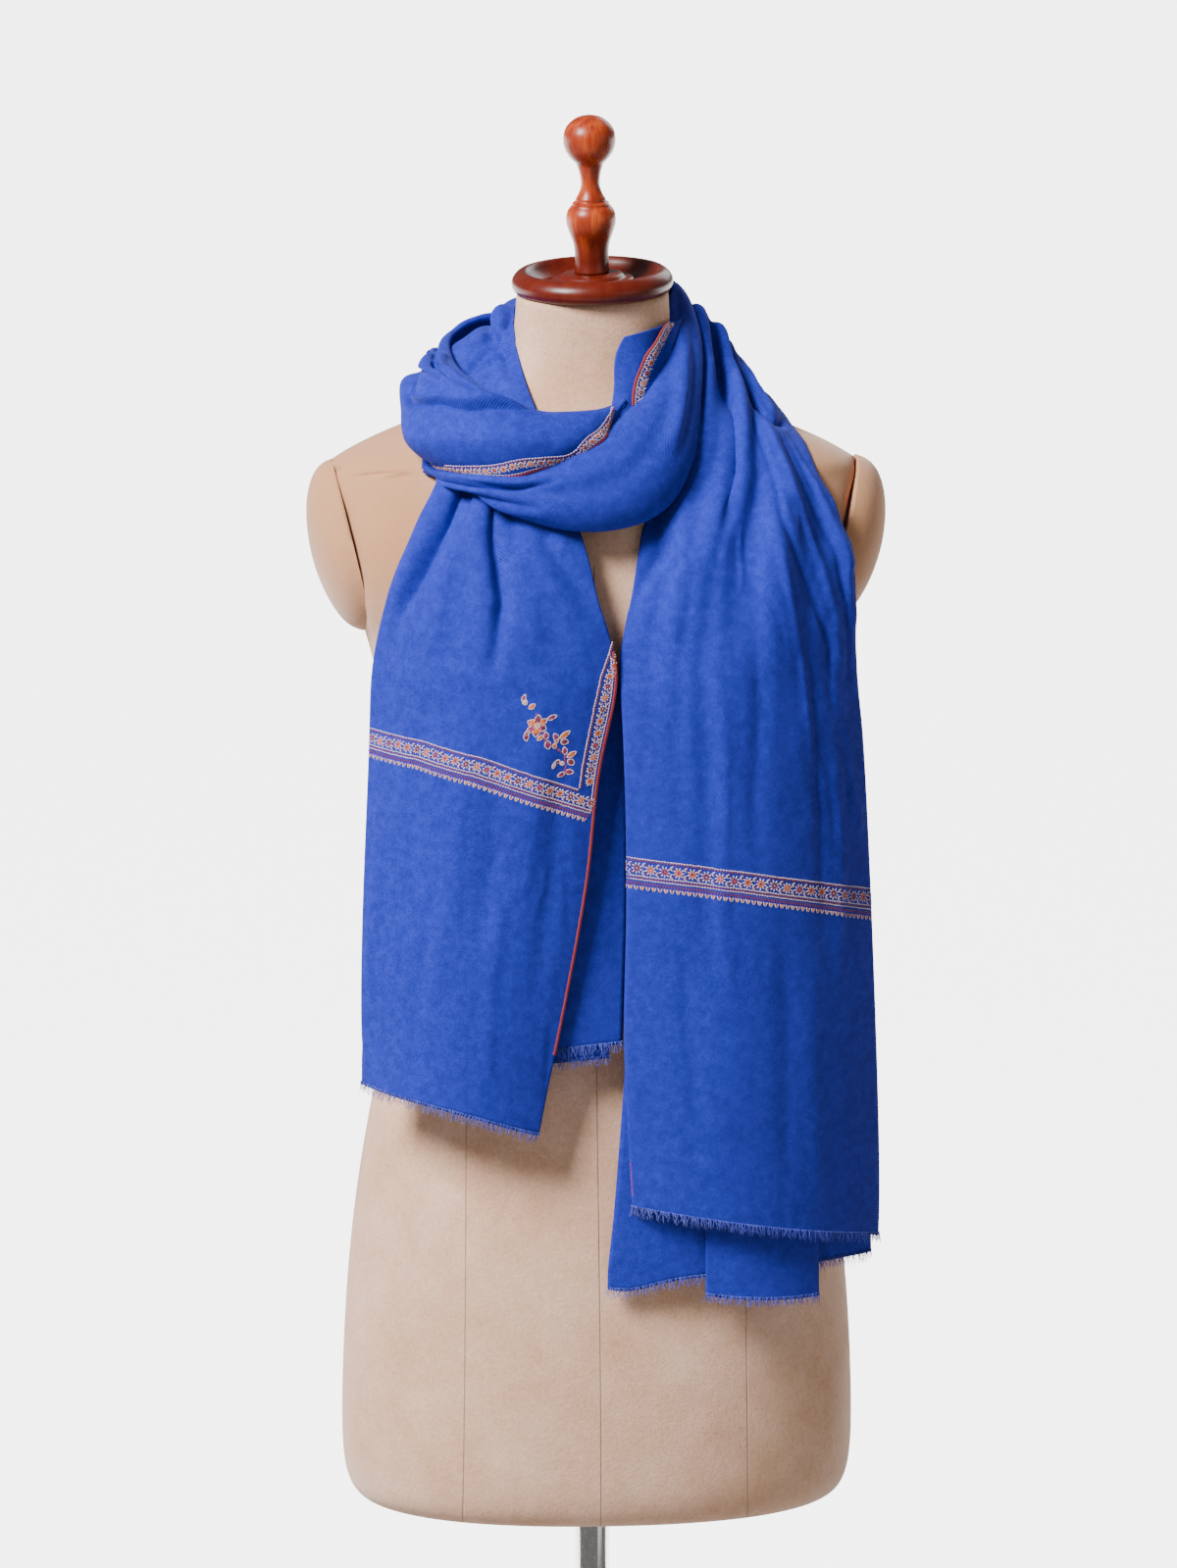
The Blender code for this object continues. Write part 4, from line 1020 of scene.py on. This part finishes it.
OUTER_CREASES = (
    # the loop's upper roll: ridges that fan out from the pit beside the neck
    (6.5, 4.5, 4, (0.1, 0.35), ((20, 240), (22, 205), (27.6, 167), (14, 133), (17, 97), (15, 75))),
    (-5.7, 2.4, 2.4, (0.1, 0.35), ((31, 212), (32, 172), (20, 138), (20, 104))),
    (5.7, 3.6, 3.4, (0.1, 0.35), ((40, 218), (36, 175), (25, 141), (18, 112))),
    (-4.8, 1.9, 3.6, (0.1, 0.25),
     ((-9, 230), (-5.7, 197), (5.5, 151), (4.4, 130), (12, 104), (16, 88), (15, 66))),
    (3.5, 3, 2.2, (0.1, 0.3), ((-3, 230), (0, 197), (11, 151), (9, 130), (16, 104))),
    (2.6, 8, 8, (0.3, 0.3), ((-24, 190), (-20, 150), (-14, 110), (-8, 70))),
    # round the left side to the back of the neck
    (-4.5, 3.2, 3.6, (0.3, 0.3), ((2, 225), (3, 270), (-2, 330), (2, 380))),
    (4.5, 4.4, 4.2, (0.3, 0.3), ((12, 235), (13, 280), (9, 340), (12, 400))),
    (-3.9, 3, 3.4, (0.3, 0.3), ((24, 250), (26, 300), (22, 360), (26, 430))),
    (3.9, 5, 5, (0.3, 0.3), ((-15, 220), (-13, 270), (-18, 330), (-16, 400))),
    (-3.9, 4, 4, (0.3, 0.3), ((-30, 240), (-28, 300), (-34, 380), (-30, 460))),
    (3.6, 5, 5, (0.3, 0.3), ((34, 300), (36, 380), (38, 470), (40, 540))),
    (-4.8, 4.5, 5.5, (0.3, 0.3), ((14, 400), (12, 470), (20, 540), (30, 590))),
    (4.2, 6, 6, (0.3, 0.3), ((-4, 380), (-6, 460), (2, 540), (14, 600))),
    (-4.5, 5, 6, (0.3, 0.3), ((-20, 420), (-22, 500), (-12, 560), (0, 610))),
    (3.6, 6, 6, (0.3, 0.3), ((-44, 400), (-46, 480), (-36, 560), (-24, 620))),
    (-3.3, 5, 6, (0.3, 0.3), ((-58, 440), (-58, 520), (-50, 590), (-40, 650))),
    # over the shoulder: the gathered top of the long end
    (3.4, 5, 6, (0.2, 0.5), ((30, 560), (23, 590), (16, 620), (14, 655), (16, 700))),
    (-8.5, 2.8, 3.2, (0.3, 0.25),
     ((18, 575), (13.2, 613.6), (6.4, 630.8), (0, 646), (-8, 655), (-18, 652), (-27, 638))),
    (4, 4, 4, (0.3, 0.3), ((4, 590), (-3, 620), (-14, 638), (-24, 628))),
    (5.2, 5, 5, (0.2, 0.35), ((48, 570), (42, 600), (37, 640), (40, 684), (44, 733))),
    (-9.5, 5, 6.5, (0.1, 0.4), ((34, 585), (27, 635), (25, 674), (27, 700), (27, 725), (22, 765))),
    (-5, 5, 6, (0.1, 0.4), ((58, 690), (66, 735), (69, 753), (64, 781), (76, 803), (84, 822))),
    (4.4, 7, 6, (0.1, 0.5), ((48, 690), (52, 740), (48, 790), (54, 845))),
    # long creases that fall down its right side
    (-2.3, 3.4, 2.6, (0.2, 0.3),
     ((6, 650), (2.8, 673), (-15, 741), (-46, 790), (-62, 830), (-62, 880))),
    (2.5, 3, 3.4, (0.2, 0.3),
     ((-2, 640), (-6, 659), (-22, 717), (-50, 768), (-64, 805), (-70, 850))),
    (-2, 2.6, 3, (0.2, 0.3), ((-12, 650), (-30, 705), (-56, 750), (-74, 800), (-80, 870))),
    (1.9, 3, 3, (0.2, 0.3), ((-24, 655), (-44, 710), (-68, 760), (-82, 830))),
    (1.7, 3.2, 3, (0.3, 0.3), ((0, 720), (-24, 780), (-40, 850), (-42, 940))),
    (-1.7, 6, 7, (0.3, 0.4), ((42, 735), (49, 776), (44, 825), (56, 906), (54, 980))),
    (-1.6, 6, 6, (0.3, 0.4), ((4, 720), (-1.4, 767), (-5.6, 861), (3.5, 942), (2, 1010))),
    (-1.4, 5, 5, (0.3, 0.4), ((-40, 790), (-47, 857), (-46, 963), (-48, 1062))),
    (1.3, 6, 6, (0.4, 0.4), ((26, 820), (22, 910), (28, 1010), (24, 1100))),
    (1.4, 5, 5, (0.4, 0.4), ((-62, 860), (-64, 960), (-60, 1080))),
    (1.1, 1.6, 1.6, (0.3, 0.3), ((13, 756), (11, 769), (7, 784), (6, 802))),
    (-1.3, 8, 8, (0.4, 0.3), ((52, 1016), (53, 1103), (50, 1200))),
    (-1.1, 7, 7, (0.4, 0.3), ((-16, 1015), (-16, 1115), (-12, 1220))),
    (1.1, 8, 7, (0.4, 0.3), ((-40, 1040), (-36, 1130), (-40, 1225))),
    *small_creases(7, 46, -84, 8, 650, 780, -0.42, 1.05),
    *small_creases(8, 50, -92, -30, 750, 960, -0.06, 1.05),
    *small_creases(9, 26, -20, 88, 740, 1160, 0.02, 0.5),
    *small_creases(11, 44, -86, 14, 640, 850, -0.32, 0.62),
)

points = stretch_of(OUTER, 110, 410, OUTER_FOLDS, (FOLD_RADIUS, FOLD_RADIUS))
points = settled(points, "loop_upper", "outer_back", "long_end", until=LOOP_ROWS)
long_under_skin, long_middle_skin = skin_of(long_second_cloth[0]), skin_of(long_middle_cloth[0])
outer_wrap, outer_cloth = woven(
    "outer_wrap",
    points,
    ("loop_upper", "outer_back", "long_end"),
    OUTER_NUDGES,
    OUTER_CREASES,
    (form_skin, long_under_skin, long_middle_skin, short_under_skin),
    (TUCKED_COLUMNS, TUCKED_COLUMNS),
)

# The fringes: the warp ends of the cloth, left loose below each hem as single fine threads.
THREAD_SPACING = 0.00070
THREAD_RADIUS = 0.00032
THREAD_RINGS = 5
THREAD_RISE = 0.0022
THREAD_SHORTEST = 0.55
THREAD_LEAN = 0.16
THREAD_CURL = 0.0009
THREAD_SWING = (0.04, 0.12)
THREAD_TAPER = 0.6


def sampled(field, row, column):
    """A grid's values between its points."""
    j = np.clip(row.astype(int), 0, field.shape[0] - 2)
    i = np.clip(column.astype(int), 0, field.shape[1] - 2)
    down, right = row - j, column - i
    if field.ndim == 3:
        down, right = down[:, None], right[:, None]
    upper = field[j, i] * (1 - right) + field[j, i + 1] * right
    lower = field[j + 1, i] * (1 - right) + field[j + 1, i + 1] * right
    return upper * (1 - down) + lower * down


def meshed(name, vertices, faces, finishes, shares=None):
    """A piece from many small parts, each part's faces in one of the finishes."""
    mesh = bpy.data.meshes.new(name)
    mesh.from_pydata(vertices.reshape(-1, 3), [], faces)
    piece = fit(added(name, mesh), finishes[0], "shawl_cloth")
    for finish in finishes[1:]:
        mesh.materials.append(finish.material)
    if shares is not None:
        mesh.polygons.foreach_set("material_index", np.repeat(shares, len(faces) // len(shares)))
    mesh.shade_smooth()
    return piece


def fringed(name, cloth, longest, seed, *nodes):
    """Loose threads below a stretch's last row, no two of one length or lie."""
    points = cloth[0]
    chance = np.random.default_rng(seed)
    width = np.linalg.norm(np.diff(points[-1], axis=0), axis=1).sum()
    count = int(width / THREAD_SPACING)
    place = (np.arange(count) + chance.uniform(-0.3, 0.3, count)) / (count - 1)
    column = np.sort(np.clip(place, 0, 1)) * (points.shape[1] - 1)
    last = np.full(count, points.shape[0] - 1.0)
    root = sampled(points, last, column)
    fall = root - sampled(points, last - 3, column)
    fall /= np.linalg.norm(fall, axis=1)[:, None]
    side = sampled(np.gradient(points, axis=1), last, column)
    side /= np.linalg.norm(side, axis=1)[:, None]
    out = np.cross(side, fall)
    out *= np.sign(-out[:, 1:2])
    length = longest * chance.uniform(THREAD_SHORTEST, 1.0, count)
    lean, curl = chance.normal(0, THREAD_LEAN, count), chance.normal(0, THREAD_CURL, count)
    phase = chance.uniform(0, 2 * math.pi, count)
    outwards = chance.normal(*THREAD_SWING, count)
    rings = []
    for step in range(THREAD_RINGS):
        share = step / (THREAD_RINGS - 1)
        wave = curl * (np.sin(phase + 5 * share) - np.sin(phase))
        down = (length * share - THREAD_RISE)[:, None]
        middle = root + fall * down + side * (lean * length * share**1.3 + wave)[:, None]
        middle = middle + out * (outwards * length * share + CLOTH_THICKNESS)[:, None]
        radius = THREAD_RADIUS * (1 - THREAD_TAPER * share)
        for angle in (0, 2 * math.pi / 3, 4 * math.pi / 3):
            rings.append(middle + radius * (side * math.cos(angle) + out * math.sin(angle)))
    vertices = np.stack(rings, axis=1)
    pattern = []
    for step in range(THREAD_RINGS - 1):
        for k in range(3):
            a, b = step * 3 + k, step * 3 + (k + 1) % 3
            pattern.append((a, b, b + 3, a + 3))
    last = THREAD_RINGS * 3 - 3
    pattern.append((last, last + 1, last + 2))
    pattern.append((2, 1, 0))
    each = THREAD_RINGS * 3
    faces = [tuple(v + n * each for v in face) for n in range(count) for face in pattern]
    piece = meshed(name, vertices, faces, (fringe_wool,))
    shape = bmesh.new()
    shape.from_mesh(piece.data)
    bmesh.ops.recalc_face_normals(shape, faces=shape.faces)
    shape.to_mesh(piece.data)
    shape.free()
    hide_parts(*nodes)
    return piece


fringe_wool = Finish("loose wool threads", 0.8, Sheen_Weight=0.3)
tone = fringe_wool.shades(fringe_wool.grain(300), (0.35, WOOL), (0.6, WOOL_LOOSE))
fringe_wool.feed("Base Color", tone)

FRINGES = (
    # name, cloth, longest thread, seed, node
    ("short_front_threads", short_cloth, 0.0085, 21, "short_end_fringe"),
    ("short_second_threads", short_second_cloth, 0.009, 22, "short_end_under_fringe"),
    ("short_third_threads", short_third_cloth, 0.008, 23, "short_end_inner_fringe"),
    ("long_front_threads", outer_cloth, 0.0085, 24, "long_end_fringe"),
    ("long_middle_threads", long_middle_cloth, 0.008, 25, "long_end_pleat_fringe"),
    ("long_second_threads", long_second_cloth, 0.009, 26, "long_end_under_fringe"),
)
(
    short_fringe,
    short_second_fringe,
    short_third_fringe,
    long_fringe,
    long_middle_fringe,
    long_second_fringe,
) = [fringed(*row) for row in FRINGES]

# The embroidery: silk thread worked by hand on both ends and along the selvedges, as satin and
# stem stitches that stand a little above the cloth, and a red overcast edge.
STITCH_HEIGHT = 0.00034
PAST_EDGE = 0.0014
# How wide the stitches are, in mm
FINE, PETAL, LINE, DASH, STEM, OVERCAST, OUTLINE = 0.9, 0.95, 0.85, 1.2, 1.3, 1.15, 0.72
OVERCAST_STEP = 0.95
EDGING_SPACING = 4.1
EDGING_DEPTH = 3.4
SELVEDGE_OVERCAST = 1.7
SEAM_WANDER = 0.08
LEAF_FILL = (-0.24, 0.0, 0.24)
LEAF_FILL_WIDTH = 0.46
THREAD_COLOURS = (
    ("cream", (0.74, 0.54, 0.52)),
    ("maroon", (0.17, 0.006, 0.03)),
    ("orange", (0.72, 0.13, 0.015)),
    ("magenta", (0.25, 0.006, 0.08)),
    ("red", (0.37, 0.017, 0.016)),
    ("purple", (0.10, 0.007, 0.09)),
)
THREAD_DARKER = 0.72
CREAM, MAROON, ORANGE, MAGENTA, RED, PURPLE = range(6)
DAISY_COLOURS = (
    (ORANGE, MAROON),
    (MAROON, CREAM),
    (ORANGE, CREAM),
    (MAGENTA, ORANGE),
    (ORANGE, MAROON),
)


def thread_finish(name, colour):
    silk = Finish(name + " silk thread", 0.5, Sheen_Weight=0.15)
    strands = silk.grain(900, 2)
    darker = tuple(channel * THREAD_DARKER for channel in colour)
    silk.feed("Base Color", silk.shades(strands, (0.35, darker), (0.6, colour)))
    silk.relief(strands, 0.4, 0.0002)
    return silk


threads = [thread_finish(name, colour) for name, colour in THREAD_COLOURS]

LEAF_OUTLINE = ((-0.02, 0), (0.3, 0.52), (0.7, 0.5), (1.08, 0))


class Work:
    """Stitches on the flat cloth, in mm, set out along a line and then laid on the cloth."""

    def __init__(self, seed):
        self.rows = []
        self.chance = np.random.default_rng(seed)

    def follow(self, line):
        line = np.array(line, float)
        lengths = np.linalg.norm(np.diff(line, axis=0), axis=1)
        self.steps = np.concatenate([[0], np.cumsum(lengths)])
        self.line = line
        self.length = self.steps[-1]

    def place(self, along, off):
        spot, after, before = [
            np.array([np.interp(along + ahead, self.steps, self.line[:, k]) for k in (0, 1)])
            for ahead in (0, 3, -3)
        ]
        run = (after - before) / np.linalg.norm(after - before)
        return spot + off * np.array((run[1], -run[0]))

    def stitch(self, start, stop, width, colour):
        self.rows.append((*self.place(*start), *self.place(*stop), width, colour))

    def seam(self, off, colour, length=2.1, gap=-0.2, width=LINE):
        """Stitches one after another, at a distance from the line."""
        at = 0.0
        while at < self.length - length / 2:
            wander = self.chance.normal(0, SEAM_WANDER)
            self.stitch((at, off + wander), (at + length, off + wander), width, colour)
            at += length + gap

    def overcast(self, width):
        at = 0.0
        while at < self.length:
            stop = (at + 0.9, width + self.chance.normal(0, 0.12))
            self.stitch((at, -0.7), stop, OVERCAST, RED)
            at += OVERCAST_STEP

    def daisy(self, at, off, radius, inner, heart, petals=9):
        turn = self.chance.uniform(0, 1)
        for petal in range(2 * petals):
            outer = petal % 2 == 0
            angle = math.pi * (petal + turn) / petals
            near, far = (0.46, self.chance.uniform(0.98, 1.14)) if outer else (0.16, 0.62)
            along, up = radius * math.cos(angle), radius * math.sin(angle)
            ends = (at + near * along, off + near * up), (at + far * along, off + far * up)
            self.stitch(*ends, PETAL if outer else FINE, CREAM if outer else inner)
        self.stitch((at - 0.6, off - 0.2), (at + 0.6, off + 0.2), 1.0, heart)

    def scroll(self, at, off, size):
        """The small hooks between two daisies."""
        for way in (-1, 1):
            up = size * way
            foot, knee = (at + 0.15 * size, off + 0.2 * up), (at - 0.35 * size, off + 0.7 * up)
            self.stitch(foot, knee, FINE, CREAM)
            self.stitch(knee, (at + 0.3 * size, off + 1.1 * up), FINE, CREAM)
            self.stitch((at + 0.4 * size, off + 0.5 * up), (at, off + 0.95 * up), FINE, MAROON)

    def garland(self, off, radius, spacing):
        """A row of daisies with small hooks between each two."""
        count = max(int(self.length / spacing), 1)
        for n in range(count):
            at = (n + 0.5) * self.length / count
            self.daisy(at, off + self.chance.normal(0, 0.2), radius, *DAISY_COLOURS[n % 5])
            if n:
                self.scroll(at - self.length / count / 2, off, radius)

    def edging(self, off, depth):
        """Small pointed loops, each with a filled heart."""
        for n in range(int(self.length / EDGING_SPACING)):
            at = (n + 0.5) * EDGING_SPACING
            for way in (-1, 1):
                self.stitch((at + way * 1.5, off), (at + way * 0.2, off + depth), 0.8, CREAM)
            self.stitch((at, off + 0.1), (at, off + depth * 0.75), STEM, (ORANGE, MAGENTA)[n % 2])

    def leaf(self, at, off, angle, length, width, fill):
        """A pointed leaf: filled down its middle and outlined in cream."""
        run = np.array((math.cos(angle), math.sin(angle)))
        over = np.array((-run[1], run[0]))
        foot = np.array((at, off))
        for side in LEAF_FILL:
            start = foot + run * length * 0.12 + over * width * side
            stop = foot + run * length * 0.88 + over * width * side
            self.stitch(start, stop, width * LEAF_FILL_WIDTH, fill)
        for side in (-1, 1):
            corners = [foot + length * a * run + width * b * side * over for a, b in LEAF_OUTLINE]
            for start, stop in zip(corners[:-1], corners[1:]):
                past = (stop - start) * 0.09
                self.stitch(start - past, stop + past, OUTLINE, CREAM)

    def laid(self, name, cloth):
        points, across, along = cloth
        work = np.array(self.rows)
        out = outward_of(points)
        steepness = np.gradient(across, axis=1)
        ends, kept = [], np.ones(len(work), bool)
        for spots in (work[:, 0:2], work[:, 2:4]):
            row = np.interp(spots[:, 1], along[:, 0], np.arange(len(along)))
            column = np.full(len(spots), across.shape[1] / 2)
            for _ in range(12):
                miss = spots[:, 0] - sampled(across, row, column)
                column = column + miss / sampled(steepness, row, column)
                column = np.clip(column, 0, across.shape[1] - 1)
            face = sampled(out, row, column)
            edge = (spots[:, 0] - sampled(across, row, column))[:, None] / 1000
            over = sampled(np.gradient(points, axis=1), row, column)
            over /= np.linalg.norm(over, axis=1)[:, None]
            ends.append((sampled(points, row, column) + over * edge, face))
            kept &= np.abs(edge[:, 0]) < PAST_EDGE
        (start, face), (stop, other) = [(spot[kept], facing[kept]) for spot, facing in ends]
        work = work[kept]
        face = face + other
        face /= np.linalg.norm(face, axis=1)[:, None]
        run = stop - start
        side = np.cross(face, run)
        side *= (work[:, 4] / 2000 / np.maximum(np.linalg.norm(side, axis=1), 1e-9))[:, None]
        wall = CLOTH_THICKNESS / 2
        rings = [start + face * wall]
        for share in (0.25, 0.75):
            middle = start + run * share
            rings += [middle + side + face * wall, middle + face * (wall + STITCH_HEIGHT)]
            rings += [middle - side + face * wall, middle + face * (wall - STITCH_HEIGHT)]
        rings.append(stop + face * wall)
        pattern = [(0, 1 + (k + 1) % 4, 1 + k) for k in range(4)]
        pattern += [(1 + k, 1 + (k + 1) % 4, 5 + (k + 1) % 4, 5 + k) for k in range(4)]
        pattern += [(5 + k, 5 + (k + 1) % 4, 9) for k in range(4)]
        faces = [tuple(v + n * 10 for v in face) for n in range(len(work)) for face in pattern]
        return meshed(name, np.stack(rings, axis=1), faces, threads, work[:, 5].astype(int))


def edge_of(cloth, side, begin=0.0, end=None):
    """The line of a stretch's first edge, side -1, or its second, side 0, on the flat cloth. It
    runs so that a distance off it is towards the cloth's middle."""
    places = np.linspace(begin, cloth[2][-1, 0] if end is None else end, 120)
    line = np.stack([np.interp(places, cloth[2][:, 0], cloth[1][:, side]), places], axis=1)
    return line[::-1] if side else line


def panel_border(work, line, depth, size, corner=()):
    """The border above a hem: two lines, a garland, three lines, dashes and an edging. All but
    the first two run on through the corner."""
    work.follow(line)
    work.seam(0.0, CREAM)
    work.seam(1.2, MAROON)
    work.follow(line + corner)
    work.garland(depth / 2 + 0.8, 3.5 * size, 8.3 * size)
    for off, colour in ((0.0, CREAM), (1.1, MAROON), (2.2, CREAM)):
        work.seam(depth + off * size, colour)
    work.seam(depth + 3.9 * size, PURPLE, 1.5, 0.3, DASH)
    work.seam(depth + 4.8 * size, MAGENTA, 1.3, 0.7, DASH)
    work.edging(depth + 5.8 * size, EDGING_DEPTH)


SHORT_BORDER = (
    (97, 173), (88, 174.6), (42.7, 184.9), (-2.5, 199.8), (-44.6, 218.7), (-73.5, 231.9),
)
SIDE_BORDER = (
    (-73.5, 231), (-74, 214.6), (-75.3, 194.1), (-76.6, 173.3), (-79.4, 151.6), (-85, 136),
    (-89.5, 122),
)
BORDER_CORNER = (-89, 239)
SELVEDGE_FROM = 134
SELVEDGE_LINE_TO = 250
RED_EDGE_ABOVE_HEM = 42
short_work = Work(31)
panel_border(short_work, SHORT_BORDER, 10.6, 0.97, (BORDER_CORNER,))
short_work.follow(SIDE_BORDER)
short_work.seam(0.0, CREAM)
short_work.seam(1.2, MAROON)
short_work.garland(6.6, 3.3, 8.2)
short_work.follow(edge_of(short_cloth, 0, SELVEDGE_FROM, SELVEDGE_LINE_TO))
short_work.seam(3.2, CREAM)
red_edge_end = short_cloth[2][-1, 0] - RED_EDGE_ABOVE_HEM
short_work.follow(edge_of(short_cloth, 0, SELVEDGE_FROM, red_edge_end))
short_work.overcast(1.9)

# The sprig in the corner: a flower of six petals, two buds, and leaves along a bent stem.
SPRIG_STEM = (
    (-36, 172), (-39, 181), (-43, 190), (-47, 195), (-53, 199), (-60, 205), (-62, 212),
    (-62.4, 221),
)
SPRIG_LEAVES = (
    # place across and along, direction in degrees, length, width, colour
    (-38, 181.5, 90, 7.6, 5.0, ORANGE),
    (-38, 181.5, 150, 7.2, 4.8, MAGENTA),
    (-38, 181.5, 210, 7.0, 4.6, ORANGE),
    (-38, 181.5, 270, 7.2, 4.8, MAROON),
    (-38, 181.5, 330, 7.4, 4.8, ORANGE),
    (-38, 181.5, 30, 7.4, 4.8, MAGENTA),
    (-31, 169, 215, 4.6, 3.4, ORANGE),
    (-29, 166, 300, 4.6, 3.0, CREAM),
    (-26, 163.5, 250, 5.0, 2.6, MAGENTA),
    (-44, 178, 195, 6.8, 3.0, MAGENTA),
    (-31, 185, 100, 6.6, 3.2, MAROON),
    (-33, 184, 60, 4.2, 2.6, MAGENTA),
    (-43, 189, 40, 4.4, 2.8, ORANGE),
    (-46, 193, 110, 6.4, 3.8, MAGENTA),
    (-46, 192, 290, 5.4, 3.2, MAGENTA),
    (-51, 196, 120, 3.8, 2.8, ORANGE),
    (-53, 196, 270, 3.4, 2.6, ORANGE),
    (-54, 194, 305, 6.0, 3.2, MAGENTA),
    (-55, 193, 215, 7.6, 3.6, ORANGE),
    (-56, 195, 165, 5.6, 3.6, MAROON),
    (-61, 205, 290, 5.6, 3.0, MAGENTA),
    (-62, 207, 205, 6.6, 3.4, ORANGE),
    (-63, 209, 140, 6.0, 3.6, MAROON),
    (-62, 217, 165, 6.2, 3.2, MAGENTA),
    (-62, 218, 20, 5.0, 3.0, MAGENTA),
    (-61, 212, 330, 4.4, 2.2, CREAM),
    (-57.4, 208.6, 20, 3.8, 2.2, MAGENTA),
    (-54, 209.8, 75, 4.0, 2.4, CREAM),
)
sprig = Work(32)
sprig.follow(((0, 0), (0, 1000)))
for x, y, turn, length, width, fill in SPRIG_LEAVES:
    sprig.leaf(y, x, math.radians(90 - turn), length, width, fill)
for (x, y), (to_x, to_y) in zip(SPRIG_STEM[:-1], SPRIG_STEM[1:]):
    sprig.stitch((y, x), (to_y, to_x), STEM, MAGENTA)
sprig.daisy(181.5, -38, 1.9, MAROON, ORANGE, 5)
short_work.rows += sprig.rows
short_embroidery = short_work.laid("short_end_embroidery", short_cloth)

LONG_BORDER = (
    (99, 982), (91.9, 982.6), (51.8, 985.4), (11.8, 989.9), (-31.2, 996.6), (-90.8, 1007.2),
    (-99, 1008.6),
)
# The overcast edge shows on the long end for a short way above its hem, just on its face
LONG_RED_EDGE = (32, 9)
TUCKED_WIDTH = 5.4

long_work = Work(33)
panel_border(long_work, LONG_BORDER, 11.4, 1.12)
long_hem = outer_cloth[2][-1, 0]
long_edge = edge_of(outer_cloth, -1, *(long_hem - above for above in LONG_RED_EDGE))
long_work.follow(long_edge - (TUCKED_WIDTH, 0))
long_work.overcast(SELVEDGE_OVERCAST)
long_embroidery = long_work.laid("long_end_embroidery", outer_cloth)


def strip_border(seed, name, cloth, lines_side, red_side, width):
    """The border along a selvedge: lines on one side, then daisies, then the red edge."""
    thin = (2.0, 0.1, 0.7)
    work = Work(seed)
    work.follow(edge_of(cloth, red_side))
    work.overcast(SELVEDGE_OVERCAST)
    work.seam(2.3, CREAM, *thin)
    if lines_side != red_side:
        work.follow(edge_of(cloth, lines_side))
        work.seam(0.4, CREAM, *thin)
        work.seam(1.3, MAROON, *thin)
        work.garland(width / 2 + 0.4, width * 0.30, width * 0.75)
    else:
        work.garland(width / 2 + 2.2, width * 0.36, width * 0.84)
    return work.laid(name, cloth)


selvedge_embroidery = strip_border(34, "loop_selvedge_embroidery", selvedge_cloth, -1, -1, 9.0)
between_embroidery = strip_border(35, "between_rolls_embroidery", between_cloth, -1, 0, 8.5)
